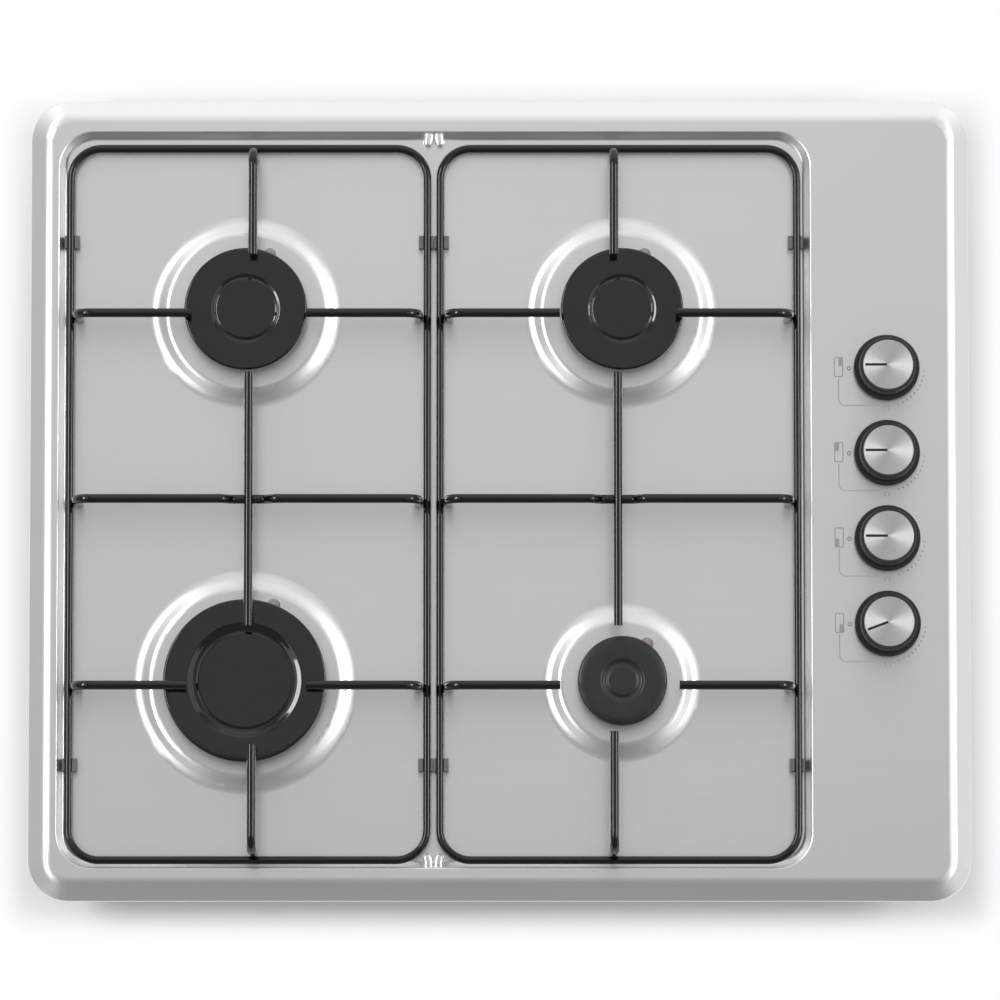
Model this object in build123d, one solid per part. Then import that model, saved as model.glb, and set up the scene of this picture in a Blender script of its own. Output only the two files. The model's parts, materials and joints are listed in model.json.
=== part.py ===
from build123d import *
from math import atan, cos, hypot, radians, sin, tan
import os

# Gas cooktop that drops into a worktop cut-out. Millimetres, X right, Y back, Z up.
# The origin lies under the middle of the cooktop, level with the underside of its tray.

# Top panel, pressed from one sheet of stainless steel
PANEL_W, PANEL_D, PANEL_CORNER = 585.0, 500.0, 25.0
SHEET = 0.8
LIP_H, LIP_RETURN = 1.6, 9.0
SLOPE_W, SLOPE_H = 11.5, 8.0
RIM_BEND, LIP_BEND = 9.5, 1.3
RIM_STRIP_D, RIM_STRIP_LEFT, CONTROL_STRIP_W = 8.8, 6.5, 87.3
WELL_DEPTH, WELL_WALL, WELL_CORNER = 5.0, 4.0, 22.0
WELL_TOP_BEND, WELL_FLOOR_BEND = 1.2, 2.2
PLINTH_RISE, PLINTH_WALL, PLINTH_FOOT_BEND, PLINTH_TOP_BEND = 5.2, 12.7, 10.4, 5.8
BUMP_L, BUMP_W, BUMP_H, BUMP_PITCH, BUMP_FILLET = 9.2, 6.0, 4.3, 6.7, 2.3
BUMP_INSET, BUMP_SPLAY = 0.2, 9.0
SEAT_Z = 44.0            # height of the worktop above the tray's underside

# Foam seal under the turned-in lip
SEAL_T, SEAL_W, SEAL_INSET = 2.0, 6.5, 2.0

# Bottom tray and its fixings
TRAY_INSET_LEFT, TRAY_INSET_RIGHT, TRAY_INSET_Y, TRAY_CORNER = 24.5, 20.5, 26.0, 6.0
TRAY_GAP, TRAY_FOLD = 0.3, 1.6   # gap between the tray's upper edge and the well
VENT_L, VENT_W, VENT_COUNT, VENT_PITCH, VENT_ROW_Y = 30.0, 4.0, 7, 40.0, 60.0
VENT_X = -60.0
CLAMP_HOLE_R, CLAMP_INSET_X, CLAMP_INSET_Y = 2.2, 20.0, 24.0
TAB_W, TAB_T, TAB_FOOT, TAB_DROP = 20.0, 1.0, 8.0, 14.0
TAB_REACH_X, TAB_REACH_Y = 150.0, 150.0
SCREW_R, SCREW_HEAD_R, SCREW_HEAD_H, SCREW_L = 1.95, 3.5, 2.2, 7.0
HOLE_CLEARANCE = 0.05    # radial, of a screw or pin in its hole
PAST = 1.0               # how far a cut runs past the material

# Burners: place of each, and the sizes of the three kinds
BURNER_LEFT_SHIFT, BURNER_RIGHT_SHIFT = -1.5, 1.9    # from the middle of the grate above it
BURNER_REAR_Y, BURNER_FRONT_Y = 116.5, -114.5
# kind: cap radius, plinth top radius, hole radius, electrode angle
BURNER_KINDS = {
    "rapid": (50.4, 56.9, 33.0, 70.0),
    "semi": (38.1, 47.4, 25.0, 68.5),
    "auxiliary": (27.75, 36.8, 17.0, 57.0),
}
PORT_COUNT = {"rapid": 40, "semi": 30, "auxiliary": 20}
CUP_FLANGE, CUP_FLANGE_T, CUP_WALL, CUP_RIM_RISE = 6.5, 2.5, 2.6, 2.7
CUP_BOWL_H, CUP_FLOOR_T, CUP_BOSS_R, CUP_BOSS_DROP = 20.0, 2.0, 9.0, 7.0
CUP_SCREW_R, CUP_SCREW_HEAD_R, CUP_SCREW_HEAD_H, CUP_SCREW_L, CUP_SCREW_SHIFT = 1.5, 2.7, 1.8, 4.0, 0.3
CUP_GAP = 0.4            # between the cup's rim and the hole in the plinth
AIR_WINDOW_W, AIR_WINDOW_H, AIR_WINDOW_COUNT = 12.0, 8.0, 4
CROWN_H, CROWN_WALL, CROWN_FLOOR, CROWN_INSET, CROWN_EDGE = 8.0, 4.5, 3.0, 4.0, 1.0
CROWN_PLUG_H, LOOSE_FIT = 3.0, 0.3
VENTURI_R, VENTURI_WALL, VENTURI_L = 5.5, 2.0, 14.0
PORT_W, PORT_H = 1.8, 4.5
CAP_H, CAP_EDGE, CAP_SKIN, CAP_RING_W, CAP_RING_H = 7.0, 1.6, 3.0, 2.0, 3.0
CAP_SHOULDER = {"rapid": 0.0, "semi": 0.0, "auxiliary": 0.9}
# Rings pressed into each cap's top: distance in from the edge, and depth
CAP_RINGS = {
    "rapid": ((14.9, 0.0), (17.8, 1.3), (20.0, 1.7), (21.6, 1.3)),
    "semi": ((16.9, 0.0), (17.6, 0.9), (18.6, 0.9), (19.3, 0.0)),
    "auxiliary": ((4.2, 0.0), (14.4, 0.0), (16.1, 1.4), (17.5, 1.6), (19.0, 0.6)),
}
INJECTOR_R, INJECTOR_HEAD_R, INJECTOR_H, JET_R = 3.0, 4.5, 5.0, 0.6
INJECTOR_SINK = 5.0

# Spark electrodes
CERAMIC_R, CERAMIC_RISE, CERAMIC_COLLAR_R, CERAMIC_COLLAR_H = 3.4, 4.5, 4.6, 2.0
CERAMIC_TAIL, CERAMIC_OUT = 4.0, 0.6
PIN_R, PIN_RISE, PIN_TAIL, EAR_MARGIN = 0.8, 5.2, 1.5, 2.2
PLINTH_ELECTRODE_HOLE = 4.0

# Gas rail, taps, pipes
RAIL_SIZE, RAIL_BORE_R, RAIL_Z, RAIL_FRONT_EXTRA, RAIL_REAR_Y = 18.0, 5.0, 15.0, 24.0, 186.0
RAIL_PORT_R, RAIL_END = 2.5, 8.0
BRACKET_T, BRACKET_W, BRACKET_FOOT, BRACKET_INSET = 1.2, 16.0, 10.0, 14.0
INLET_THREAD_R, INLET_BORE_R, INLET_OUT, INLET_HEX, INLET_HEX_L = 10.478, 3.5, 14.5, 24.0, 10.0
INLET_NIPPLE_L, INLET_CLEARANCE, INLET_NECK_R, INLET_NECK_OUT = 8.0, 0.4, 9.4, 0.6
TAP_W, TAP_D, TAP_CORNER, BONNET_T, TAP_SCREW_SPAN = 22.0, 34.0, 3.0, 3.0, 26.0
TAP_FLOOR, TAP_SCREW_BITE, TAP_WAY_R = 1.5, 3.4, 1.5
PLUG_H, PLUG_R_LOW, PLUG_R_HIGH, PLUG_SLOT_W, PLUG_SLOT_H = 10.0, 5.0, 6.2, 2.6, 6.0
RUNNING_FIT = 0.05
OUTLET_R, OUTLET_L, OUTLET_BORE_R, OUTLET_Z_UP = 5.0, 7.0, 2.0, 3.9
NUT_FLATS, NUT_L, NUT_OVERLAP = 13.0, 10.0, 5.0
PIPE_R, PIPE_BORE_R, PIPE_BEND = 3.0, 2.2, 16.0
PIPE_STUB, PIPE_RAMP, PIPE_TURN_RUN, PIPE_AISLE, PIPE_BEND_SHARE = 14.0, 24.0, 34.0, 40.0, 0.45

# Control columns: spindle, spring, knob, disc
KNOB_INSET, KNOB_MID_Y, KNOB_PITCH = 51.8, 1.4, 53.2
KNOB_REST_TURN = {1: 0.0, 2: 0.0, 3: 0.0, 4: 20.5}   # the photographed pose of each
PUSH_TRAVEL = 3.0
SPRING_L, SPRING_R, SPRING_WIRE_R, SPRING_TURNS = 8.0, 5.0, 0.5, 3.5
COLLAR_R, COLLAR_H, STOP_GAP = 5.5, 1.5, 0.1
SPINDLE_R, SPINDLE_FLAT, TANG_T, TANG_W, TANG_REACH = 4.0, 2.6, 2.4, 7.0, 2.5
SPINDLE_IN_KNOB, KNOB_BORE_SPARE = 4.4, 0.4
KNOB_SKIRT_R, KNOB_GRIP_LOW_R, KNOB_GRIP_HIGH_R = 20.4, 17.8, 17.2
KNOB_H, KNOB_SKIRT_H, KNOB_WALL, KNOB_BOSS_R, KNOB_BOSS_RECESS = 18.6, 2.8, 2.0, 7.0, 2.2
KNOB_GAP, KNOB_CHAMFER = 0.4, 0.6
DISC_R, DISC_T, DISC_PROUD, DISC_CLEARANCE, DISC_BEVEL = 15.55, 1.5, 0.3, 0.15, 0.5
LINE_L, LINE_W, LINE_DEPTH, LINE_EDGE = 13.8, 1.8, 0.35, 1.2
SEAL_BORE_GAP, GROMMET_HOLE_R, GROMMET_LIP_R, GROMMET_LIP_T = 0.15, 7.2, 9.2, 1.1

# Ignition
SWITCH_W, SWITCH_D, SWITCH_H, SWITCH_BORE_R, SWITCH_CORNER = 20.0, 16.0, 3.2, 4.8, 2.0
SPARK_BOX_X, SPARK_BOX_Y = -60.0, 0.0
SPARK_BOX_L, SPARK_BOX_W, SPARK_BOX_H, SPARK_BOX_EDGE = 60.0, 36.0, 26.0, 3.0
TERMINAL_L, TERMINAL_W, TERMINAL_H, TERMINAL_SETBACK = 26.0, 16.0, 14.0, 12.0
GLAND_INSET, GLAND_Z, GLAND_BORE_R = 38.0, 20.0, 4.5
GLAND_NECK_R, GLAND_LIP_R, GLAND_LIP_T = 7.0, 9.0, 1.5
LEAD_R, LEAD_Z, LEAD_SPREAD, LEAD_BEND = 1.25, 21.5, 8.0, 5.0
LEAD_NEAR_RUN, LEAD_FAR_RUN, LEAD_BEHIND, SUPPLY_BEND = 15.0, 52.0, 15.0, 25.0
LINK_INSET, SWITCH_LEAD_OUT, SWITCH_LEAD_RAMP = 3.0, 26.0, 30.0

# Grates of enamelled wire
# From the well's edge, or the other frame's wire, to the wire's centre
FRAME_GAP_LEFT, FRAME_GAP_RIGHT, FRAME_BETWEEN = 7.5, 8.6, 8.1
FRAME_GAP_REAR, FRAME_GAP_FRONT = 10.9, 4.9
FRAME_CORNER, FRAME_WIRE_R = 19.0, 2.5
FRAME_LIFT = 3.5         # from the well floor up to the underside of the frame
BAR_WIRE_R, BAR_UP, BAR_BEND, WELD_GAP = 2.8, 31.0, 9.0, 0.05
ROW_SPAN, TIP_R, LONG_TIP_R = 230.6, 36.7, 28.4
END_FINGER_SHIFT, LONG_BAR_SHIFT = 3.3, 1.0
JOGGLE_OUT, JOGGLE_IN, JOGGLE_BEND = 17.0, 10.0, 5.0
FOOT_L, FOOT_IN, FOOT_OUT, FOOT_GRIP, FOOT_SPAN = 8.2, 5.3, 3.85, 0.9, 326.0
FOOT_CHAMFER, FOOT_FILLET = 2.4, 0.7

# Levels that follow from the sizes above
LIP_Z = SEAT_Z + SEAL_T
PANEL_Z = LIP_Z + LIP_H + SLOPE_H
WELL_Z = PANEL_Z - WELL_DEPTH
PLINTH_Z = WELL_Z + PLINTH_RISE
CUP_RIM_Z = PLINTH_Z + CUP_RIM_RISE
CROWN_Z = CUP_RIM_Z + CROWN_H
CUP_TOP_Z = PLINTH_Z - SHEET
BOWL_Z = CUP_TOP_Z - CUP_BOWL_H
FRAME_Z = WELL_Z + FRAME_LIFT + FRAME_WIRE_R
BAR_Z = FRAME_Z + BAR_UP
RAIL_TOP = RAIL_Z + RAIL_SIZE / 2
PLUG_Z = RAIL_TOP + TAP_FLOOR
SPRING_Z = PLUG_Z + PLUG_H
COLLAR_Z = SPRING_Z + SPRING_L
BONNET_Z = COLLAR_Z + COLLAR_H + STOP_GAP
OUTLET_Z = RAIL_TOP + OUTLET_Z_UP
KNOB_Z = PANEL_Z + PUSH_TRAVEL + KNOB_GAP
KNOB_TOP = KNOB_Z + KNOB_H
DISC_Z = KNOB_TOP + DISC_PROUD - DISC_T
BOSS_Z = KNOB_Z + KNOB_BOSS_RECESS
TAP_INNER_R = PLUG_R_HIGH + RUNNING_FIT
TRAY_TOP = WELL_Z - SHEET - TRAY_GAP
TAB_SCREW_Z = WELL_Z - SHEET - TAB_T - TAB_DROP / 2
CERAMIC_Z = CUP_TOP_Z - CUP_FLANGE_T - CERAMIC_COLLAR_H - CERAMIC_TAIL

# The well takes what the rim, its flat strips and the control strip leave
WELL_LEFT = -PANEL_W / 2 + SLOPE_W + RIM_STRIP_LEFT
WELL_RIGHT = PANEL_W / 2 - SLOPE_W - CONTROL_STRIP_W
WELL_W = WELL_RIGHT - WELL_LEFT
WELL_X = (WELL_RIGHT + WELL_LEFT) / 2
WELL_D = PANEL_D - 2 * (SLOPE_W + RIM_STRIP_D)

# The two grates share the well, and the burners stand under the grates
FRAME_W = (WELL_W - FRAME_GAP_LEFT - FRAME_GAP_RIGHT - FRAME_BETWEEN) / 2
FRAME_D = WELL_D - FRAME_GAP_REAR - FRAME_GAP_FRONT
GRATE_LEFT_X = WELL_LEFT + FRAME_GAP_LEFT + FRAME_W / 2
GRATE_RIGHT_X = WELL_RIGHT - FRAME_GAP_RIGHT - FRAME_W / 2
GRATE_Y = (FRAME_GAP_FRONT - FRAME_GAP_REAR) / 2
BURNER_LEFT_X = GRATE_LEFT_X + BURNER_LEFT_SHIFT
BURNER_RIGHT_X = GRATE_RIGHT_X + BURNER_RIGHT_SHIFT

# The knobs, the tray and what it holds follow the panel's edges
KNOB_X = PANEL_W / 2 - KNOB_INSET
TRAY_LEFT, TRAY_RIGHT = PANEL_W / 2 - TRAY_INSET_LEFT, PANEL_W / 2 - TRAY_INSET_RIGHT
TRAY_D = PANEL_D - 2 * TRAY_INSET_Y
CLAMP_SPAN_X = TRAY_LEFT + TRAY_RIGHT - 2 * CLAMP_INSET_X
CLAMP_SPAN_Y = TRAY_D - 2 * CLAMP_INSET_Y
GLAND_X = GLAND_INSET - TRAY_LEFT

BURNERS = {
    "rear_left": (BURNER_LEFT_X, BURNER_REAR_Y, "semi"),
    "rear_right": (BURNER_RIGHT_X, BURNER_REAR_Y, "semi"),
    "front_left": (BURNER_LEFT_X, BURNER_FRONT_Y, "rapid"),
    "front_right": (BURNER_RIGHT_X, BURNER_FRONT_Y, "auxiliary"),
}
# Knob 1 is the one at the back; each works the burner named here
KNOB_BURNERS = {1: "rear_right", 2: "rear_left", 3: "front_left", 4: "front_right"}
KNOB_Y = {n: KNOB_MID_Y + (2.5 - n) * KNOB_PITCH for n in KNOB_BURNERS}


# ---------------------------------------------------------------- shared shapes
UPWARD = (Align.CENTER, Align.CENTER, Align.MIN)    # a block or cylinder that stands on its place


def rounded_plate(width, depth, corner, z, height, x=0.0, y=0.0):
    """Upright block with rounded corners, standing at z."""
    return extrude(Pos(x, y, z) * RectangleRounded(width, depth, corner), height)


def tapered_block(low, low_z, high, high_z, x=0.0):
    """Block between two rounded rectangles, each given as width, depth and corner."""
    return loft([Pos(x, 0, z) * RectangleRounded(*size) for size, z in ((low, low_z), (high, high_z))],
                ruled=True)


def turned(points):
    """Solid of revolution about Z from radius and height points."""
    return revolve(Plane.XZ * make_face(Polyline(*points, close=True)), Axis.Z)


def rod(radius, start, end):
    """Round bar between two points."""
    axis = Line(start, end)
    return extrude(Plane(origin=start, z_dir=axis % 0) * Circle(radius), axis.length)


def bent_wire(points, bend, radius, bore=0.0):
    """Round wire or tube along straight runs joined by arcs."""
    path = FilletPolyline(*points, radius=bend)
    section = Circle(radius)
    if bore:
        section -= Circle(bore)
    return sweep(Plane(origin=path @ 0, z_dir=path % 0) * section, path=path)


def save(name, *solids):
    """Write one node."""
    shape = solids[0] if len(solids) == 1 else Compound(children=list(solids))
    export_step(shape, f"parts/{name}.step")


# ---------------------------------------------------------------- top panel
def rim_form(inset):
    """Raised block inside the rim's outer face (inset 0) or inner face (inset of one sheet)."""
    slope = atan(SLOPE_H / SLOPE_W)
    drop = inset / cos(slope)
    lip_top = LIP_Z + LIP_H + inset * tan(slope) - drop
    top_inset = SLOPE_W + (drop - inset) / tan(slope)
    low = (PANEL_W - 2 * inset, PANEL_D - 2 * inset, PANEL_CORNER - inset)
    high = (PANEL_W - 2 * top_inset, PANEL_D - 2 * top_inset, PANEL_CORNER - top_inset)
    form = rounded_plate(*low, LIP_Z, lip_top - LIP_Z)
    form += tapered_block(low, lip_top, high, PANEL_Z - inset)
    form = fillet(edges_at(form, PANEL_Z - inset), RIM_BEND - inset)
    return fillet(edges_at(form, lip_top), LIP_BEND - inset)


def edges_at(shape, z):
    """Edges that lie flat at height z."""
    return [e for e in shape.edges() if abs(e.center().Z - z) < 0.001 and e.bounding_box().size.Z < 0.01]


def well_form(inset):
    """Space of the sunk well, above its upper face (inset 0) or its underside."""
    lean = WELL_WALL / WELL_DEPTH
    spread = inset * hypot(1, lean)
    floor_z = WELL_Z - inset
    floor_out = spread - inset * lean
    low = (WELL_W - 2 * (WELL_WALL - floor_out), WELL_D - 2 * (WELL_WALL - floor_out),
           WELL_CORNER - WELL_WALL + floor_out)
    high = (WELL_W + 2 * spread, WELL_D + 2 * spread, WELL_CORNER + spread)
    form = tapered_block(low, floor_z, high, PANEL_Z, WELL_X)
    return fillet(edges_at(form, floor_z), WELL_FLOOR_BEND + inset)


def plinth_form(kind, inset):
    """Body under one burner plinth's upper face (inset 0) or its underside (inset of one sheet)."""
    top_r = BURNER_KINDS[kind][1]
    foot_r = top_r + PLINTH_WALL
    bends = PLINTH_TOP_BEND + PLINTH_FOOT_BEND
    # The bends and the straight cone between them share the wall's width and height
    lean = 2 * atan(PLINTH_RISE / (PLINTH_WALL + hypot(PLINTH_WALL, PLINTH_RISE)))
    for _ in range(8):
        straight = PLINTH_WALL - bends * sin(lean)
        lean = atan((PLINTH_RISE - bends * (1 - cos(lean))) / straight)
    over_r, under_r = PLINTH_TOP_BEND - inset, PLINTH_FOOT_BEND + inset
    over = (top_r, PLINTH_Z - PLINTH_TOP_BEND)
    under = (foot_r, WELL_Z + PLINTH_FOOT_BEND)
    half = lean / 2
    top = (top_r, over[1] + over_r)
    cone_top = (over[0] + over_r * sin(lean), over[1] + over_r * cos(lean))
    cone_foot = (under[0] - under_r * sin(lean), under[1] - under_r * cos(lean))
    foot = (foot_r, under[1] - under_r)
    upper = ThreePointArc(top, (over[0] + over_r * sin(half), over[1] + over_r * cos(half)), cone_top)
    lower_mid = (under[0] - under_r * sin(half), under[1] - under_r * cos(half))
    lower = ThreePointArc(cone_foot, lower_mid, foot)
    base = WELL_Z - SHEET - (PAST if inset else 0)
    rest = Polyline(foot, (foot_r, base), (0, base), (0, top[1]), top)
    profile = make_face([upper, Line(cone_top, cone_foot), lower, *rest.edges()])
    return revolve(Plane.XZ * profile, Axis.Z)


def tab_places():
    """Middle, inward direction and support height of each tab that holds the tray."""
    under_well, under_strip = WELL_Z - SHEET, PANEL_Z - SHEET
    side = TRAY_D / 2 - SHEET
    for y in (-TAB_REACH_Y, TAB_REACH_Y):
        yield Location((-TRAY_LEFT + SHEET, y, 0), (0, 0, 0)), under_well
        yield Location((TRAY_RIGHT - SHEET, y, 0), (0, 0, 180)), under_strip
    for x in (WELL_X - TAB_REACH_X, WELL_X + TAB_REACH_X):
        yield Location((x, -side, 0), (0, 0, 90)), under_well
        yield Location((x, side, 0), (0, 0, -90)), under_well


def tray_tab(support_z):
    """Angle welded under the panel, at the origin, with the tray's wall on its -X side."""
    bottom = TAB_SCREW_Z - TAB_DROP / 2
    into = SHEET / 4
    upright = Box(TAB_T, TAB_W, support_z + into - bottom, align=(Align.MIN, Align.CENTER, Align.MIN))
    foot = Box(TAB_FOOT, TAB_W, TAB_T + into, align=(Align.MIN, Align.CENTER, Align.MAX))
    gap = 2 * HOLE_CLEARANCE
    tab = Pos(gap, 0, bottom) * upright + Pos(gap, 0, support_z + into) * foot
    hole = rod(SCREW_R + HOLE_CLEARANCE, (-PAST, 0, TAB_SCREW_Z), (TAB_T + PAST, 0, TAB_SCREW_Z))
    return tab - hole


def electrode_place(kind):
    """Where a burner's electrode stands, from the burner's axis."""
    cap_r, _, _, angle = BURNER_KINDS[kind]
    reach = cap_r + CERAMIC_OUT
    return reach * cos(radians(angle)), reach * sin(radians(angle))


def cup_screw_places(kind):
    """Places of the screws that hold a burner cup, from the burner's axis."""
    _, _, hole_r, angle = BURNER_KINDS[kind]
    reach = hole_r + CUP_FLANGE / 2 + CUP_SCREW_SHIFT
    for side in (-90, 90):
        turn = radians(angle + side)
        yield reach * cos(turn), reach * sin(turn)


def well_edges(shape):
    """Edges round the mouth of the well."""
    return [e for e in edges_at(shape, PANEL_Z)
            if abs(e.center().X - WELL_X) < WELL_W / 2 + PAST and abs(e.center().Y) < WELL_D / 2 + PAST]


def stop_bump():
    """Small pressed mound that keeps a grate from sliding."""
    mound = extrude(Rot(0, 0, 90) * SlotOverall(BUMP_L, BUMP_W), BUMP_H + SHEET / 2)
    return fillet(mound.edges().group_by(Axis.Z)[-1], BUMP_FILLET)


def top_panel():
    outer = rim_form(0) - well_form(0)
    outer = fillet(well_edges(outer), WELL_TOP_BEND)
    inner = rim_form(SHEET) - well_form(SHEET)
    panel = outer - inner
    for x, y, kind in BURNERS.values():
        foot_r = BURNER_KINDS[kind][1] + PLINTH_WALL
        panel -= Pos(x, y, WELL_Z) * Cylinder(foot_r, 4 * SHEET)
        panel += Pos(x, y) * (plinth_form(kind, 0) - plinth_form(kind, SHEET))
    lip = rounded_plate(PANEL_W - SHEET, PANEL_D - SHEET, PANEL_CORNER - SHEET / 2, LIP_Z, SHEET)
    lip -= rounded_plate(PANEL_W - 2 * LIP_RETURN, PANEL_D - 2 * LIP_RETURN,
                         PANEL_CORNER - LIP_RETURN, LIP_Z - PAST, SHEET + 2 * PAST)
    panel += lip
    bump_x = (GRATE_LEFT_X + GRATE_RIGHT_X) / 2
    bump_y = WELL_D / 2 - BUMP_L / 2 - BUMP_INSET
    for side_x in (-1, 1):
        for side_y in (-1, 1):
            place = Pos(bump_x + side_x * BUMP_PITCH / 2, side_y * bump_y, WELL_Z - SHEET / 2)
            panel += place * Rot(0, 0, side_x * side_y * BUMP_SPLAY) * stop_bump()
    for place, support_z in tab_places():
        panel += place * tray_tab(support_z)
    cuts = []
    for x, y, kind in BURNERS.values():
        hole_r = BURNER_KINDS[kind][2]
        cuts.append(Pos(x, y, PLINTH_Z) * Cylinder(hole_r, 4 * SHEET))
        spark_x, spark_y = electrode_place(kind)
        cuts.append(Pos(x + spark_x, y + spark_y, PLINTH_Z) * Cylinder(PLINTH_ELECTRODE_HOLE, 4 * SHEET))
        for screw_x, screw_y in cup_screw_places(kind):
            hole = Cylinder(CUP_SCREW_R + HOLE_CLEARANCE, 4 * SHEET)
            cuts.append(Pos(x + screw_x, y + screw_y, PLINTH_Z) * hole)
    for y in KNOB_Y.values():
        cuts.append(Pos(KNOB_X, y, PANEL_Z) * Cylinder(GROMMET_HOLE_R, 4 * SHEET))
    return panel - cuts


def rim_seal():
    outer_w, outer_d = PANEL_W - 2 * SEAL_INSET, PANEL_D - 2 * SEAL_INSET
    corner = PANEL_CORNER - SEAL_INSET
    ring = rounded_plate(outer_w, outer_d, corner, SEAT_Z, SEAL_T)
    return ring - rounded_plate(outer_w - 2 * SEAL_W, outer_d - 2 * SEAL_W, corner - SEAL_W,
                                SEAT_Z - PAST, SEAL_T + 2 * PAST)


# ---------------------------------------------------------------- bottom tray
def bottom_tray():
    width, middle = TRAY_LEFT + TRAY_RIGHT, (TRAY_RIGHT - TRAY_LEFT) / 2
    outer = rounded_plate(width, TRAY_D, TRAY_CORNER, 0, TRAY_TOP, middle)
    outer = fillet(outer.edges().group_by(Axis.Z)[0], TRAY_FOLD)
    inner = rounded_plate(width - 2 * SHEET, TRAY_D - 2 * SHEET, TRAY_CORNER - SHEET, SHEET, TRAY_TOP,
                          middle)
    inner = fillet(inner.edges().group_by(Axis.Z)[0], TRAY_FOLD - SHEET)
    tray = outer - inner
    cuts = []
    vent = Rot(0, 0, 90) * extrude(SlotOverall(VENT_L, VENT_W), SHEET + 2 * PAST)
    for i in range(VENT_COUNT):
        x = VENT_X + (i - (VENT_COUNT - 1) / 2) * VENT_PITCH
        for y in (-VENT_ROW_Y, VENT_ROW_Y):
            cuts.append(Pos(x, y, -PAST) * vent)
    for x in (-CLAMP_SPAN_X / 2, CLAMP_SPAN_X / 2):
        for y in (-CLAMP_SPAN_Y / 2, CLAMP_SPAN_Y / 2):
            cuts.append(Pos(middle + x, y, 0) * Cylinder(CLAMP_HOLE_R, 4 * SHEET))
    screw_hole = rod(SCREW_R + HOLE_CLEARANCE, (-2 * SHEET, 0, TAB_SCREW_Z), (SHEET, 0, TAB_SCREW_Z))
    for place, _ in tab_places():
        cuts.append(place * screw_hole)
    for x, z, radius in ((KNOB_X, RAIL_Z, INLET_THREAD_R + INLET_CLEARANCE),
                         (GLAND_X, GLAND_Z, GLAND_NECK_R + HOLE_CLEARANCE)):
        cuts.append(rod(radius, (x, TRAY_D / 2 - 2 * SHEET, z), (x, TRAY_D / 2 + SHEET, z)))
    return tray - cuts


def pan_screw(radius, head_r, head_h, length):
    """Screw pointing down, with the underside of its head at the origin."""
    head = Cylinder(head_r, head_h, align=UPWARD)
    head = fillet(head.edges().group_by(Axis.Z)[-1], head_h / 3)
    shank = Pos(0, 0, -length) * Cylinder(radius, length, align=UPWARD)
    recess = Pos(0, 0, head_h) * Box(head_r, head_h / 4, head_h)
    return head + shank - recess - Rot(0, 0, 90) * recess


def tray_screws():
    screw = Rot(0, -90, 0) * pan_screw(SCREW_R, SCREW_HEAD_R, SCREW_HEAD_H, SCREW_L)
    return [place * Pos(-SHEET, 0, TAB_SCREW_Z) * screw for place, _ in tab_places()]


# ---------------------------------------------------------------- burners
def burner_cup(kind):
    """Cast cup below the panel, with the port for its gas pipe and an ear for its electrode."""
    _, _, hole_r, angle = BURNER_KINDS[kind]
    rim_r = hole_r - CUP_GAP
    rim_in, flange_r = rim_r - CUP_WALL, hole_r + CUP_FLANGE
    boss_z, floor_z, flange_z = RAIL_Z - CUP_BOSS_DROP, BOWL_Z + CUP_FLOOR_T, CUP_TOP_Z - CUP_FLANGE_T
    cup = turned([(0, boss_z), (CUP_BOSS_R, boss_z), (CUP_BOSS_R, BOWL_Z), (rim_r, BOWL_Z),
                  (rim_r, flange_z), (flange_r, flange_z), (flange_r, CUP_TOP_Z), (rim_r, CUP_TOP_Z),
                  (rim_r, CUP_RIM_Z), (rim_in, CUP_RIM_Z), (rim_in, floor_z), (0, floor_z)])
    spark_x, spark_y = electrode_place(kind)
    reach = hypot(spark_x, spark_y)
    ear_w = 2 * (CERAMIC_R + EAR_MARGIN)
    ear = Box(reach - rim_r, ear_w, CUP_FLANGE_T, align=(Align.MIN, Align.CENTER, Align.MIN))
    end = Cylinder(ear_w / 2, CUP_FLANGE_T, align=UPWARD)
    cup += Rot(0, 0, angle) * (Pos(rim_r, 0, flange_z) * ear + Pos(reach, 0, flange_z) * end)
    port_x = CUP_BOSS_R + OUTLET_L
    cup += rod(OUTLET_R, (CUP_BOSS_R / 2, 0, RAIL_Z), (port_x, 0, RAIL_Z))
    cup -= rod(OUTLET_BORE_R, (0, 0, RAIL_Z), (port_x + PAST, 0, RAIL_Z))
    cup -= rod(INJECTOR_R + HOLE_CLEARANCE, (0, 0, RAIL_Z), (0, 0, floor_z + PAST))
    spark_hole = Cylinder(CERAMIC_R + HOLE_CLEARANCE, 3 * CUP_FLANGE_T)
    cup -= Pos(spark_x, spark_y, CUP_TOP_Z) * spark_hole
    cuts = [Pos(x, y, CUP_TOP_Z) * Cylinder(CUP_SCREW_R + HOLE_CLEARANCE, 3 * CUP_FLANGE_T)
            for x, y in cup_screw_places(kind)]
    window = Box(2 * CUP_WALL, AIR_WINDOW_W, AIR_WINDOW_H)
    window_z = (floor_z + flange_z) / 2
    for i in range(AIR_WINDOW_COUNT):
        turn = Rot(0, 0, angle + 45 + i * 360 / AIR_WINDOW_COUNT)
        cuts.append(turn * Pos(rim_r - CUP_WALL / 2, 0, window_z) * window)
    return cup - cuts


def injector():
    """Brass jet, screwed down into the middle of a cup."""
    floor_z = BOWL_Z + CUP_FLOOR_T
    top = floor_z + INJECTOR_H
    return turned([(JET_R, floor_z - INJECTOR_SINK), (INJECTOR_R, floor_z - INJECTOR_SINK),
                   (INJECTOR_R, floor_z), (INJECTOR_HEAD_R, floor_z), (INJECTOR_HEAD_R, top - JET_R),
                   (INJECTOR_R, top), (JET_R, top)])


def cup_screws(kind):
    screw = pan_screw(CUP_SCREW_R, CUP_SCREW_HEAD_R, CUP_SCREW_HEAD_H, CUP_SCREW_L)
    return [Pos(x, y, PLINTH_Z) * screw for x, y in cup_screw_places(kind)]


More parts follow.
